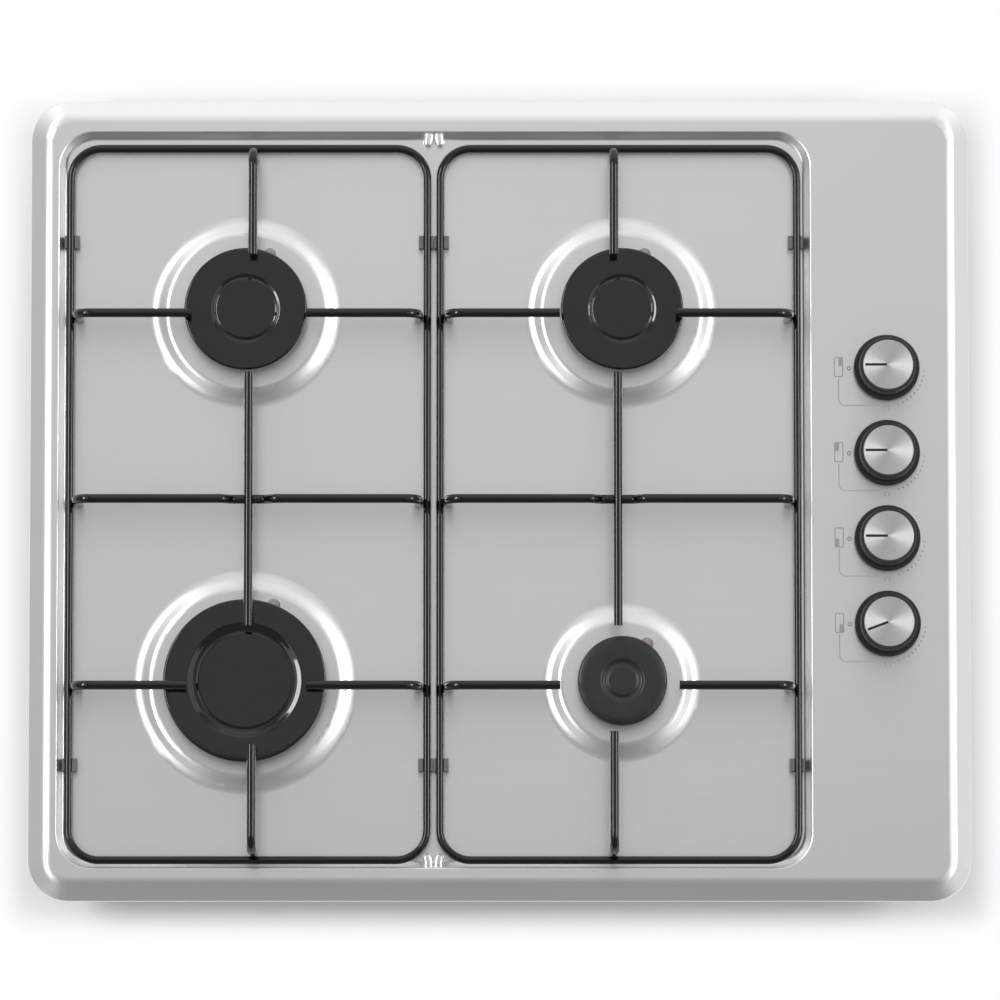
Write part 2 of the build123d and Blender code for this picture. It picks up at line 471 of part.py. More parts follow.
def crown(kind):
    """Flame spreader: a ring of ports round a mixing tube, standing on the cup's rim."""
    cap_r, _, hole_r, _ = BURNER_KINDS[kind]
    ports = PORT_COUNT[kind]
    outer = cap_r - CROWN_INSET
    inner = outer - CROWN_WALL
    plug = hole_r - CUP_GAP - CUP_WALL - LOOSE_FIT
    tube = VENTURI_R + VENTURI_WALL
    low, floor = CUP_RIM_Z - CROWN_PLUG_H, CUP_RIM_Z + CROWN_FLOOR
    foot = CUP_RIM_Z - VENTURI_L
    body = turned([(VENTURI_R, foot), (tube, foot), (tube, CUP_RIM_Z), (plug - VENTURI_WALL, CUP_RIM_Z),
                   (plug - VENTURI_WALL, low), (plug, low), (plug, CUP_RIM_Z),
                   (outer - CROWN_EDGE, CUP_RIM_Z),
                   (outer, CUP_RIM_Z + CROWN_EDGE), (outer, CROWN_Z), (inner, CROWN_Z), (inner, floor),
                   (VENTURI_R, floor)])
    port = Pos(outer - CROWN_WALL / 2, 0, CROWN_Z - PORT_H / 2) * Box(2 * CROWN_WALL, PORT_W, PORT_H)
    return body - [Rot(0, 0, i * 360 / ports) * port for i in range(ports)]


def cap(kind):
    """Enamelled lid with the rings pressed into its top and a locating ring below."""
    cap_r = BURNER_KINDS[kind][0]
    ring_out = cap_r - CROWN_INSET - CROWN_WALL - LOOSE_FIT
    ring_in = ring_out - CAP_RING_W
    top, hollow = CROWN_Z + CAP_H, CROWN_Z + CAP_H - CAP_SKIN
    shoulder = top - CAP_SHOULDER[kind]
    rings = [(cap_r - inwards, top - depth) for inwards, depth in CAP_RINGS[kind]]
    return turned([(0, hollow), (ring_in, hollow), (ring_in, CROWN_Z - CAP_RING_H),
                   (ring_out, CROWN_Z - CAP_RING_H), (ring_out, CROWN_Z), (cap_r - CAP_EDGE, CROWN_Z),
                   (cap_r, CROWN_Z + CAP_EDGE), (cap_r, shoulder - CAP_EDGE),
                   (cap_r - CAP_EDGE / 2, shoulder - CAP_EDGE / 4), (cap_r - CAP_EDGE, shoulder),
                   *rings, (0, rings[-1][1])])


def ceramic():
    """Insulator of an electrode, held under the cup's ear by its collar."""
    bore = PIN_R + HOLE_CLEARANCE
    ear_z = CUP_TOP_Z - CUP_FLANGE_T
    top = PLINTH_Z + CERAMIC_RISE
    return turned([(bore, CERAMIC_Z), (CERAMIC_R, CERAMIC_Z), (CERAMIC_R, ear_z - CERAMIC_COLLAR_H),
                   (CERAMIC_COLLAR_R, ear_z - CERAMIC_COLLAR_H), (CERAMIC_COLLAR_R, ear_z),
                   (CERAMIC_R, ear_z), (CERAMIC_R, top), (bore, top)])


def electrode_pin():
    return rod(PIN_R, (0, 0, CERAMIC_Z - PIN_TAIL), (0, 0, PLINTH_Z + CERAMIC_RISE + PIN_RISE))


# ---------------------------------------------------------------- gas supply
def gas_rail():
    """Square tube along the knobs, closed at the front."""
    front = KNOB_Y[4] - RAIL_FRONT_EXTRA
    middle = (front + RAIL_REAR_Y) / 2
    rail = Pos(KNOB_X, middle, RAIL_Z) * Box(RAIL_SIZE, RAIL_REAR_Y - front, RAIL_SIZE)
    rail -= rod(RAIL_BORE_R, (KNOB_X, front + RAIL_END, RAIL_Z), (KNOB_X, RAIL_REAR_Y + PAST, RAIL_Z))
    cuts = []
    for y in KNOB_Y.values():
        cuts.append(rod(RAIL_PORT_R, (KNOB_X, y, RAIL_Z), (KNOB_X, y, RAIL_TOP + PAST)))
        for side in (-TAP_SCREW_SPAN / 2, TAP_SCREW_SPAN / 2):
            hole_z = RAIL_TOP - TAP_SCREW_BITE
            cuts.append(rod(SCREW_R + HOLE_CLEARANCE, (KNOB_X, y + side, hole_z),
                            (KNOB_X, y + side, RAIL_TOP + PAST)))
    return rail - cuts


def rail_brackets():
    """Two hat-shaped straps that carry the rail on the tray's floor."""
    top = RAIL_Z - RAIL_SIZE / 2
    strap = Pos(0, 0, top - BRACKET_T) * Box(RAIL_SIZE, BRACKET_W, BRACKET_T, align=UPWARD)
    for side in (-1, 1):
        leg_x = side * (RAIL_SIZE - BRACKET_T) / 2
        foot_x = side * (RAIL_SIZE + BRACKET_FOOT - 2 * BRACKET_T) / 2
        strap += Pos(leg_x, 0, SHEET) * Box(BRACKET_T, BRACKET_W, top - SHEET, align=UPWARD)
        strap += Pos(foot_x, 0, SHEET) * Box(BRACKET_FOOT, BRACKET_W, BRACKET_T, align=UPWARD)
    places = (KNOB_Y[4] - RAIL_FRONT_EXTRA + BRACKET_INSET, RAIL_REAR_Y - BRACKET_INSET)
    return [Pos(KNOB_X, y) * strap for y in places]


def gas_inlet():
    """Threaded spigot that reaches out through the tray's rear wall."""
    hex_end, end = RAIL_REAR_Y + INLET_HEX_L, TRAY_D / 2 + INLET_OUT
    nipple = rod(RAIL_BORE_R - HOLE_CLEARANCE, (0, RAIL_REAR_Y - INLET_NIPPLE_L, 0), (0, RAIL_REAR_Y, 0))
    flats = Plane(origin=(0, RAIL_REAR_Y, 0), z_dir=(0, 1, 0), x_dir=(1, 0, 0))
    outline = RegularPolygon(INLET_HEX / 2, 6, major_radius=False, rotation=30)
    hexagon = extrude(flats * outline, INLET_HEX_L)
    thread_start = TRAY_D / 2 + INLET_NECK_OUT
    spigot = rod(INLET_NECK_R, (0, hex_end, 0), (0, thread_start, 0))
    spigot += rod(INLET_THREAD_R, (0, thread_start, 0), (0, end, 0))
    bore = rod(INLET_BORE_R, (0, RAIL_REAR_Y - INLET_NIPPLE_L - PAST, 0), (0, end + PAST, 0))
    return Pos(KNOB_X, 0, RAIL_Z) * (nipple + hexagon + spigot - bore)


def tap_plate(z, height):
    """Block with rounded upright edges, which both the tap's body and its bonnet start from."""
    return rounded_plate(TAP_W, TAP_D, TAP_CORNER, z, height)


def tap_screw_holes(low, high):
    for side in (-TAP_SCREW_SPAN / 2, TAP_SCREW_SPAN / 2):
        yield rod(SCREW_R + HOLE_CLEARANCE, (0, side, low), (0, side, high))


def tap_body():
    """Cast body on the rail, with a tapered seat for its plug and an outlet on the left."""
    body = tap_plate(RAIL_TOP, BONNET_Z - RAIL_TOP)
    end_x = -TAP_W / 2 - OUTLET_L
    body += rod(OUTLET_R, (-TAP_W / 2, 0, OUTLET_Z), (end_x, 0, OUTLET_Z))
    seat = turned([(0, PLUG_Z), (PLUG_R_LOW + RUNNING_FIT, PLUG_Z), (TAP_INNER_R, SPRING_Z),
                   (TAP_INNER_R, BONNET_Z + PAST), (0, BONNET_Z + PAST)])
    outlet = rod(TAP_WAY_R, (0, 0, OUTLET_Z), (end_x - PAST, 0, OUTLET_Z))
    inlet = rod(RAIL_PORT_R, (0, 0, RAIL_TOP - PAST), (0, 0, PLUG_Z + PAST))
    return body - [seat, outlet, inlet, *tap_screw_holes(RAIL_TOP - PAST, BONNET_Z + PAST)]


def tap_bonnet():
    bonnet = tap_plate(BONNET_Z, BONNET_T)
    bore = rod(SPINDLE_R + RUNNING_FIT, (0, 0, BONNET_Z - PAST), (0, 0, BONNET_Z + BONNET_T + PAST))
    return bonnet - [bore, *tap_screw_holes(BONNET_Z - PAST, BONNET_Z + BONNET_T + PAST)]


def tap_screws():
    head_z = BONNET_Z + BONNET_T
    screw = pan_screw(SCREW_R, SCREW_HEAD_R, SCREW_HEAD_H, head_z - RAIL_TOP + TAP_SCREW_BITE)
    return [Pos(0, side, head_z) * screw for side in (-TAP_SCREW_SPAN / 2, TAP_SCREW_SPAN / 2)]


def pipe_nut():
    """Nut along X: the wide end screws on the port, the narrow end grips the pipe."""
    flats = Plane.YZ * RegularPolygon(NUT_FLATS / 2, 6, major_radius=False)
    nut = Pos(-NUT_OVERLAP, 0, 0) * extrude(flats, NUT_L)
    nut -= rod(OUTLET_R + HOLE_CLEARANCE, (-NUT_OVERLAP - PAST, 0, 0), (0, 0, 0))
    return nut - rod(PIPE_R + HOLE_CLEARANCE, (-PAST, 0, 0), (NUT_L, 0, 0))


def gas_pipe(knob):
    """Tube from a tap's outlet down to the floor of the tray and across to its burner."""
    x, y, _ = BURNERS[KNOB_BURNERS[knob]]
    tap_x, tap_y = KNOB_X - TAP_W / 2 - OUTLET_L, KNOB_Y[knob]
    port_x = x + CUP_BOSS_R + OUTLET_L
    turn_x = port_x + PIPE_TURN_RUN
    if x == BURNER_LEFT_X:
        turn_x = (BURNER_LEFT_X + BURNER_RIGHT_X) / 2 + PIPE_AISLE
    bend = min(PIPE_BEND, PIPE_BEND_SHARE * abs(y - tap_y))
    points = [(tap_x, tap_y, OUTLET_Z), (tap_x - PIPE_STUB, tap_y, OUTLET_Z),
              (tap_x - PIPE_STUB - PIPE_RAMP, tap_y, RAIL_Z), (turn_x, tap_y, RAIL_Z),
              (turn_x, y, RAIL_Z), (port_x, y, RAIL_Z)]
    return bent_wire(points, [PIPE_BEND, PIPE_BEND, bend, bend], PIPE_R, PIPE_BORE_R)


def pipe_nuts(knob):
    x, y, _ = BURNERS[KNOB_BURNERS[knob]]
    at_tap = Pos(KNOB_X - TAP_W / 2 - OUTLET_L, KNOB_Y[knob], OUTLET_Z) * Rot(0, 0, 180) * pipe_nut()
    at_cup = Pos(x + CUP_BOSS_R + OUTLET_L, y, RAIL_Z) * pipe_nut()
    return [at_tap, at_cup]


# ---------------------------------------------------------------- control columns
def valve_plug():
    """Tapered plug that turns in the tap. A slot in its top takes the spindle's tang."""
    plug = turned([(0, PLUG_Z), (PLUG_R_LOW, PLUG_Z), (PLUG_R_HIGH, SPRING_Z), (0, SPRING_Z)])
    slot = Pos(0, 0, SPRING_Z - PLUG_SLOT_H / 2) * Box(PLUG_SLOT_W, 3 * PLUG_R_HIGH, PLUG_SLOT_H)
    rise = rod(TAP_WAY_R, (0, 0, PLUG_Z - PAST), (0, 0, OUTLET_Z))
    way = rod(TAP_WAY_R, (0, 0, OUTLET_Z), (0, 2 * PLUG_R_HIGH, OUTLET_Z))
    return plug - [slot, rise, way]


def return_spring():
    """Coil between the plug and the spindle's collar."""
    coil_h = SPRING_L - 2 * SPRING_WIRE_R
    path = Helix(coil_h / SPRING_TURNS, coil_h, SPRING_R)
    section = Plane(origin=path @ 0, z_dir=path % 0) * Circle(SPRING_WIRE_R)
    wire = sweep(section, path=path, is_frenet=True)
    return Pos(0, 0, SPRING_Z + SPRING_WIRE_R) * wire


def spindle():
    """Round shaft with a flat for the knob, a stop collar, and a tang that slides in the plug."""
    top = BOSS_Z + SPINDLE_IN_KNOB
    shaft = rod(SPINDLE_R, (0, 0, COLLAR_Z), (0, 0, top))
    shaft += rod(COLLAR_R, (0, 0, COLLAR_Z), (0, 0, COLLAR_Z + COLLAR_H))
    shaft -= Pos(SPINDLE_FLAT, 0, BOSS_Z) * Box(SPINDLE_R, 3 * SPINDLE_R, 2 * SPINDLE_IN_KNOB,
                                                 align=(Align.MIN, Align.CENTER, Align.MIN))
    tang_h = SPRING_L + TANG_REACH
    tang = Pos(0, 0, COLLAR_Z - tang_h) * Box(TANG_T, TANG_W, tang_h,
                                               align=UPWARD)
    return shaft + tang


def knob():
    """Hollow moulding with a skirt, a recess for its disc and a boss on the spindle."""
    recess_z, ceiling = DISC_Z, DISC_Z - KNOB_WALL
    recess_r, grip_z = DISC_R + DISC_CLEARANCE, KNOB_Z + KNOB_SKIRT_H
    body = turned([(0, recess_z), (recess_r, recess_z), (recess_r, KNOB_TOP),
                   (KNOB_GRIP_HIGH_R - KNOB_CHAMFER, KNOB_TOP),
                   (KNOB_GRIP_HIGH_R, KNOB_TOP - KNOB_CHAMFER),
                   (KNOB_GRIP_LOW_R, grip_z), (KNOB_SKIRT_R - KNOB_CHAMFER, grip_z),
                   (KNOB_SKIRT_R, grip_z - KNOB_CHAMFER), (KNOB_SKIRT_R, KNOB_Z),
                   (KNOB_GRIP_LOW_R - KNOB_WALL, KNOB_Z), (KNOB_GRIP_HIGH_R - KNOB_WALL, ceiling),
                   (KNOB_BOSS_R, ceiling), (KNOB_BOSS_R, BOSS_Z), (0, BOSS_Z)])
    bore_end = BOSS_Z + SPINDLE_IN_KNOB + KNOB_BORE_SPARE
    bore = rod(SPINDLE_R + RUNNING_FIT, (0, 0, BOSS_Z - PAST), (0, 0, bore_end))
    flat = Box(SPINDLE_R, 3 * SPINDLE_R, 3 * KNOB_H, align=(Align.MIN, Align.CENTER, Align.CENTER))
    bore -= Pos(SPINDLE_FLAT + RUNNING_FIT, 0, BOSS_Z) * flat
    return body - bore


def knob_disc():
    """Spun metal disc with the pressed line that shows where the knob points."""
    disc = Pos(0, 0, DISC_Z) * Cylinder(DISC_R, DISC_T, align=UPWARD)
    disc = chamfer(disc.edges().group_by(Axis.Z)[-1], DISC_BEVEL)
    line = Pos(LINE_EDGE - DISC_R, 0, DISC_Z + DISC_T - LINE_DEPTH) * Box(
        LINE_L, LINE_W, PAST, align=(Align.MIN, Align.CENTER, Align.MIN))
    return disc - line


def spindle_seal():
    """Rubber grommet in the panel round a spindle."""
    bore = SPINDLE_R + SEAL_BORE_GAP
    neck = GROMMET_HOLE_R - HOLE_CLEARANCE
    under = PANEL_Z - SHEET
    return turned([(bore, under - GROMMET_LIP_T), (GROMMET_LIP_R, under - GROMMET_LIP_T),
                   (GROMMET_LIP_R, under), (neck, under), (neck, PANEL_Z), (GROMMET_LIP_R, PANEL_Z),
                   (neck, PANEL_Z + GROMMET_LIP_T), (bore, PANEL_Z + GROMMET_LIP_T)])


# ---------------------------------------------------------------- ignition
def ignition_switch():
    """Flat contact housing round the spindle, on top of the tap's bonnet."""
    low = BONNET_Z + BONNET_T
    body = rounded_plate(SWITCH_W, SWITCH_D, SWITCH_CORNER, low, SWITCH_H)
    return body - rod(SWITCH_BORE_R, (0, 0, low - PAST), (0, 0, low + SWITCH_H + PAST))


def spark_generator():
    box = Pos(SPARK_BOX_X, SPARK_BOX_Y, SHEET) * Box(SPARK_BOX_L, SPARK_BOX_W, SPARK_BOX_H,
                                                      align=UPWARD)
    return fillet(box.edges().filter_by(Axis.Z), SPARK_BOX_EDGE)


def terminal_block():
    rear_y = TRAY_D / 2 - TERMINAL_SETBACK
    block = Pos(GLAND_X, rear_y, SHEET) * Box(TERMINAL_L, TERMINAL_W, TERMINAL_H,
                                              align=(Align.CENTER, Align.MAX, Align.MIN))
    return chamfer(block.edges().group_by(Axis.Z)[-1], 1.0)


def cord_gland():
    """Grommet in the tray's rear wall, for a supply cord."""
    neck = GLAND_NECK_R
    ring = turned([(GLAND_BORE_R, -GLAND_LIP_T), (GLAND_LIP_R, -GLAND_LIP_T), (GLAND_LIP_R, 0), (neck, 0),
                   (neck, SHEET), (GLAND_LIP_R, SHEET), (GLAND_LIP_R, SHEET + GLAND_LIP_T),
                   (GLAND_BORE_R, SHEET + GLAND_LIP_T)])
    return Pos(GLAND_X, TRAY_D / 2 - SHEET, GLAND_Z) * Rot(-90, 0, 0) * ring


def electrode_lead(name):
    """Lead from the spark generator, over the pipes, up to one electrode's pin."""
    x, y, kind = BURNERS[name]
    spark_x, spark_y = electrode_place(kind)
    end_x, end_y = x + spark_x, y + spark_y
    side = 1 if x > SPARK_BOX_X else -1
    rear = 1 if y > SPARK_BOX_Y else -1
    start = (SPARK_BOX_X + side * SPARK_BOX_L / 2, SPARK_BOX_Y + rear * LEAD_SPREAD, LEAD_Z)
    tip = (end_x, end_y, CERAMIC_Z - PIN_TAIL)
    if rear < 0:
        corners = [(end_x, start[1], LEAD_Z), (end_x, end_y, LEAD_Z)]
    else:
        aisle = start[0] + side * (LEAD_FAR_RUN if side > 0 else LEAD_NEAR_RUN)
        behind = end_y + LEAD_BEHIND
        corners = [(aisle, start[1], LEAD_Z), (aisle, behind, LEAD_Z), (end_x, behind, LEAD_Z),
                   (end_x, end_y, LEAD_Z)]
    return bent_wire([start, *corners, tip], LEAD_BEND, LEAD_R)


def switch_leads():
    """Links from switch to switch, and the lead from them to the spark generator."""
    z = BONNET_Z + BONNET_T + SWITCH_H / 2
    x = KNOB_X - SWITCH_W / 2
    for n in (1, 2, 3):
        start_y, end_y = KNOB_Y[n] - SWITCH_D / 2, KNOB_Y[n + 1] + SWITCH_D / 2
        yield rod(LEAD_R, (x + LINK_INSET, start_y, z), (x + LINK_INSET, end_y, z))
    y = KNOB_Y[2] - SWITCH_D / 2 + 2 * LEAD_R
    drop = x - SWITCH_LEAD_OUT
    low = drop - SWITCH_LEAD_RAMP
    points = [(x, y, z), (drop, y, z), (low, y, LEAD_Z), (low - SWITCH_LEAD_RAMP, SPARK_BOX_Y, LEAD_Z),
              (SPARK_BOX_X + SPARK_BOX_L / 2, SPARK_BOX_Y, LEAD_Z)]
    yield bent_wire(points, LEAD_BEND, LEAD_R)


def supply_lead():
    """Lead from the terminal block to the spark generator."""
    z = SHEET + TERMINAL_H / 2
    front = TRAY_D / 2 - TERMINAL_SETBACK - TERMINAL_W
    end_x = SPARK_BOX_X - SPARK_BOX_L / 2
    points = [(GLAND_X, front, z), (GLAND_X, SPARK_BOX_Y, z), (end_x, SPARK_BOX_Y, z)]
    return bent_wire(points, SUPPLY_BEND, LEAD_R)


# ---------------------------------------------------------------- grates
def grate_frame():
    """Ring of wire round the grate: four straight runs and the bent corners welded between them."""
    outline = RectangleRounded(FRAME_W, FRAME_D, FRAME_CORNER).wire()
    runs = (Pos(0, 0, FRAME_Z) * outline).edges()
    return [sweep(Plane(origin=run @ 0, z_dir=run % 0) * Circle(FRAME_WIRE_R), path=run) for run in runs]


def finger(outer, inner):
    """Wire welded upright inside the frame and bent over towards a burner."""
    foot = (*outer, FRAME_Z - FRAME_WIRE_R)
    return bent_wire([foot, (*outer, BAR_Z), (*inner, BAR_Z)], BAR_BEND, BAR_WIRE_R)


def grate_bars(shift, front_tip):
    """Six fingers, the long bar, and the cross bar that dips under it."""
    inside = FRAME_WIRE_R + BAR_WIRE_R + WELD_GAP
    side_x, end_y = FRAME_W / 2 - inside, FRAME_D / 2 - inside
    row = ROW_SPAN / 2
    bars = [finger((shift * END_FINGER_SHIFT, end_y), (shift * END_FINGER_SHIFT, row + TIP_R)),
            finger((shift * END_FINGER_SHIFT, -end_y), (shift * END_FINGER_SHIFT, -row - front_tip))]
    for y in (-row, row):
        for side in (-1, 1):
            bars.append(finger((side * side_x, y), (side * TIP_R, y)))
    long_x, long_y = shift * LONG_BAR_SHIFT, row - TIP_R
    bars.append(rod(BAR_WIRE_R, (long_x, -long_y, BAR_Z), (long_x, long_y, BAR_Z)))
    dip = BAR_Z - 2 * BAR_WIRE_R - WELD_GAP
    half = [(side_x, FRAME_Z - FRAME_WIRE_R), (side_x, BAR_Z), (JOGGLE_OUT, BAR_Z), (JOGGLE_IN, dip)]
    points = [(-x + long_x * (x <= JOGGLE_OUT), 0, z) for x, z in half]
    points += [(x + long_x * (x <= JOGGLE_OUT), 0, z) for x, z in reversed(half)]
    bends = [BAR_BEND, JOGGLE_BEND, JOGGLE_BEND, JOGGLE_BEND, JOGGLE_BEND, BAR_BEND]
    bars.append(bent_wire(points, bends, BAR_WIRE_R))
    return bars


def grate_feet():
    """Four rubber saddles that grip the long sides of the frame from below."""
    top = FRAME_Z + FOOT_GRIP
    block = Pos((FOOT_OUT - FOOT_IN) / 2, 0, WELL_Z) * Box(FOOT_IN + FOOT_OUT, FOOT_L, top - WELL_Z,
                                                        align=UPWARD)
    block = chamfer(block.edges().filter_by(Axis.Y).group_by(Axis.Z)[0], FOOT_CHAMFER)
    block = fillet(block.edges().group_by(Axis.Z)[-1], FOOT_FILLET)
    block -= rod(FRAME_WIRE_R + RUNNING_FIT, (0, -FOOT_L, FRAME_Z), (0, FOOT_L, FRAME_Z))
    feet = []
    for y in (-FOOT_SPAN / 2, FOOT_SPAN / 2):
        feet.append(Pos(FRAME_W / 2, y) * block)
        feet.append(Pos(-FRAME_W / 2, y) * Rot(0, 0, 180) * block)
    return feet


# ---------------------------------------------------------------- write every node
os.makedirs("parts", exist_ok=True)
save("top_panel", top_panel())
save("rim_seal", rim_seal())
save("bottom_tray", bottom_tray())
save("tray_screws", *tray_screws())

kinds = {name: (Pos(x, y), kind) for name, (x, y, kind) in BURNERS.items()}
for name, (place, kind) in kinds.items():
    save(f"{name}_burner_cup", place * burner_cup(kind))
    save(f"{name}_burner_crown", place * crown(kind))
    save(f"{name}_burner_cap", place * cap(kind))
cup_screw_sets = [(place, cup_screws(kind)) for place, kind in kinds.values()]
save("burner_cup_screws", *[place * screw for place, screws in cup_screw_sets for screw in screws])
save("injectors", *[place * injector() for place, _ in kinds.values()])
sparks = [place * Pos(*electrode_place(kind)) for place, kind in kinds.values()]
save("electrode_ceramics", *[spark * ceramic() for spark in sparks])
save("electrode_pins", *[spark * electrode_pin() for spark in sparks])

save("gas_rail", gas_rail())
save("gas_rail_brackets", *rail_brackets())
save("gas_inlet", gas_inlet())
save("gas_pipes", *[gas_pipe(n) for n in KNOB_BURNERS])
save("pipe_nuts", *[nut for n in KNOB_BURNERS for nut in pipe_nuts(n)])
columns = {n: Pos(KNOB_X, y) for n, y in KNOB_Y.items()}
save("gas_taps", *[place * tap_body() for place in columns.values()])
save("tap_bonnets", *[place * tap_bonnet() for place in columns.values()])
save("tap_screws", *[place * screw for place in columns.values() for screw in tap_screws()])
save("spindle_seals", *[place * spindle_seal() for place in columns.values()])
save("ignition_switches", *[place * ignition_switch() for place in columns.values()])
for n, place in columns.items():
    turn = place * Rot(0, 0, KNOB_REST_TURN[n])
    save(f"valve_plug_{n}", turn * valve_plug())
    save(f"return_spring_{n}", turn * return_spring())
    save(f"spindle_{n}", turn * spindle())
    save(f"knob_{n}", turn * knob())
    save(f"knob_disc_{n}", turn * knob_disc())

save("spark_generator", spark_generator())
save("terminal_block", terminal_block())
save("cord_gland", cord_gland())
save("ignition_leads", *[electrode_lead(name) for name in BURNERS], *switch_leads(), supply_lead())

for name, x, shift, front_tip in (("left", GRATE_LEFT_X, 1, TIP_R),
                                  ("right", GRATE_RIGHT_X, -1, LONG_TIP_R)):
    place = Pos(x, GRATE_Y)
    save(f"{name}_grate_frame", *[place * run for run in grate_frame()])
    save(f"{name}_grate_bars", *[place * bar for bar in grate_bars(shift, front_tip)])
    save(f"{name}_grate_feet", *[place * foot for foot in grate_feet()])
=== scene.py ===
import bmesh
import bpy
import json
from math import cos, hypot, pi, radians, sin
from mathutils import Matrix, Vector

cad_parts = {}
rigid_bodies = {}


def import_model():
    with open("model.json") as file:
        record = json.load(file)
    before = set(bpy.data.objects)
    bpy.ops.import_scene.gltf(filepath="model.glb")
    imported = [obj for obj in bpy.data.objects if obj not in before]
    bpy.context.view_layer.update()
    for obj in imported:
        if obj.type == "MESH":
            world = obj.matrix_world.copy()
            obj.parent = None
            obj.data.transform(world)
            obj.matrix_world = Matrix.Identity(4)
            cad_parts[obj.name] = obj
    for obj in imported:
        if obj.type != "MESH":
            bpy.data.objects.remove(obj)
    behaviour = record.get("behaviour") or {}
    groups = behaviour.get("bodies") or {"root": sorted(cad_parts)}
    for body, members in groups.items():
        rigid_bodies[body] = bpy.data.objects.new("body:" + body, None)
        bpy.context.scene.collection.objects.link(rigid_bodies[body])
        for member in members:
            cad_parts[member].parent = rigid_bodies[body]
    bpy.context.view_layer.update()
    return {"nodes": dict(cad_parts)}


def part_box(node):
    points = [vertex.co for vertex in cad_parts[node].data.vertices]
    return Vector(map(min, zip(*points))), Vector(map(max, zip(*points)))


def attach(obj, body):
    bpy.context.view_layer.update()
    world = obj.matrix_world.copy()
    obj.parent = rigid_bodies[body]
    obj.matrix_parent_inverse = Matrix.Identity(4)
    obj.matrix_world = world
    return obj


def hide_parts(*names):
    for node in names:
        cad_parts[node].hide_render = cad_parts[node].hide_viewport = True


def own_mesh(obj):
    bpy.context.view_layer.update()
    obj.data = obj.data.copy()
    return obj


for start_up_thing in list(bpy.data.objects):
    bpy.data.objects.remove(start_up_thing)
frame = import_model()


# ---------------------------------------------------------------- bottom tray
# A tray folded from zinc-coated steel closes the cooktop underneath and carries everything
# inside it. Its zinc has frozen in flat crystals, each with its own shade of grey.
class Flow:
    """A value in a node tree; sums and products of flows add the nodes that work them out."""

    def __init__(self, workings, socket):
        self.workings = workings
        self.socket = socket

    def maths(self, operation, first, second):
        return self.workings.node("ShaderNodeMath", {"operation": operation}, {0: first, 1: second})

    def __add__(self, other):
        return self.maths("ADD", self, other)

    def __sub__(self, other):
        return self.maths("SUBTRACT", self, other)

    def __rsub__(self, other):
        return self.maths("SUBTRACT", other, self)

    def __mul__(self, other):
        return self.maths("MULTIPLY", self, other)

    def __pow__(self, other):
        return self.maths("POWER", self, other)

    __radd__ = __add__
    __rmul__ = __mul__


class Workings:
    """The nodes behind a surface or behind the light of the room."""

    def __init__(self, tree):
        self.tree = tree

    def feed(self, socket, value):
        if isinstance(value, Flow):
            self.tree.links.new(value.socket, socket)
        else:
            socket.default_value = value

    def node(self, kind, settings, sockets, output=0):
        node = self.tree.nodes.new(kind)
        for name, value in settings.items():
            setattr(node, name, value)
        for name, value in sockets.items():
            self.feed(node.inputs[name], value)
        return Flow(self, node.outputs[output])

    def place(self, per_metre=(1, 1, 1)):
        """The point on the surface, in metres times a scale along each axis."""
        here = self.node("ShaderNodeTexCoord", {}, {}, "Object")
        return self.node("ShaderNodeVectorMath", {"operation": "MULTIPLY"}, {0: here, 1: per_metre})

    def speckle(self, per_metre, detail=3.0, roughness=0.55):
        """Soft random shade between 0 and 1, at a number of grains per metre along each axis."""
        grains = {"Vector": self.place(per_metre), "Scale": 1.0, "Detail": detail, "Roughness": roughness}
        return self.node("ShaderNodeTexNoise", {}, grains)

    def blend(self, share, first, second):
        """Colour that goes from the first to the second as share goes from 0 to 1."""
        return self.node("ShaderNodeMix", {"data_type": "RGBA"}, {0: share, 6: first, 7: second}, 2)

    def step(self, value, low, high):
        """0 below low, 1 above high, and a smooth rise between them."""
        span = {"Value": value, "From Min": low, "From Max": high}
        return self.node("ShaderNodeMapRange", {"interpolation_type": "SMOOTHSTEP"}, span)

    def relief(self, height, depth):
        """Small bumps: height is between 0 and 1, and depth is in metres."""
        bumps = {"Height": height, "Strength": 1.0, "Distance": depth}
        return self.node("ShaderNodeBump", {}, bumps, "Normal")


class Finish(Workings):
    """A surface as the workshop leaves it: steady values on the shader, varying ones through nodes."""

    def __init__(self, name, steady):
        self.material = bpy.data.materials.new(name)
        self.material.use_nodes = True
        super().__init__(self.material.node_tree)
        self.surface = self.tree.nodes["Principled BSDF"]
        self.vary(steady)

    def vary(self, sockets):
        for name, value in sockets.items():
            self.feed(self.surface.inputs[name], value)


def grey(level, warmth=0.0):
    """A grey, a little warm where warmth is above 0 and a little blue below it."""
    return (level * (1 + warmth), level, level * (1 - warmth), 1.0)


def dress(finish, *names):
    for name in names:
        for slot in frame["nodes"][name].material_slots:
            slot.material = finish.material


zinc = Finish("zinc_coated_sheet", {"Metallic": 1.0})
crystals = zinc.node("ShaderNodeTexVoronoi", {}, {"Vector": zinc.place(), "Scale": 140.0}, "Color")
crystal_shade = zinc.node("ShaderNodeSeparateColor", {}, {"Color": crystals})
zinc.vary({
    "Base Color": zinc.blend(crystal_shade, grey(0.46, -0.03), grey(0.62, -0.02)),
    "Roughness": 0.34 + 0.16 * crystal_shade + 0.1 * zinc.speckle((300, 300, 300)),
    "Normal": zinc.relief(zinc.speckle((900, 900, 900)), 0.00002),
})
dress(zinc, "bottom_tray")

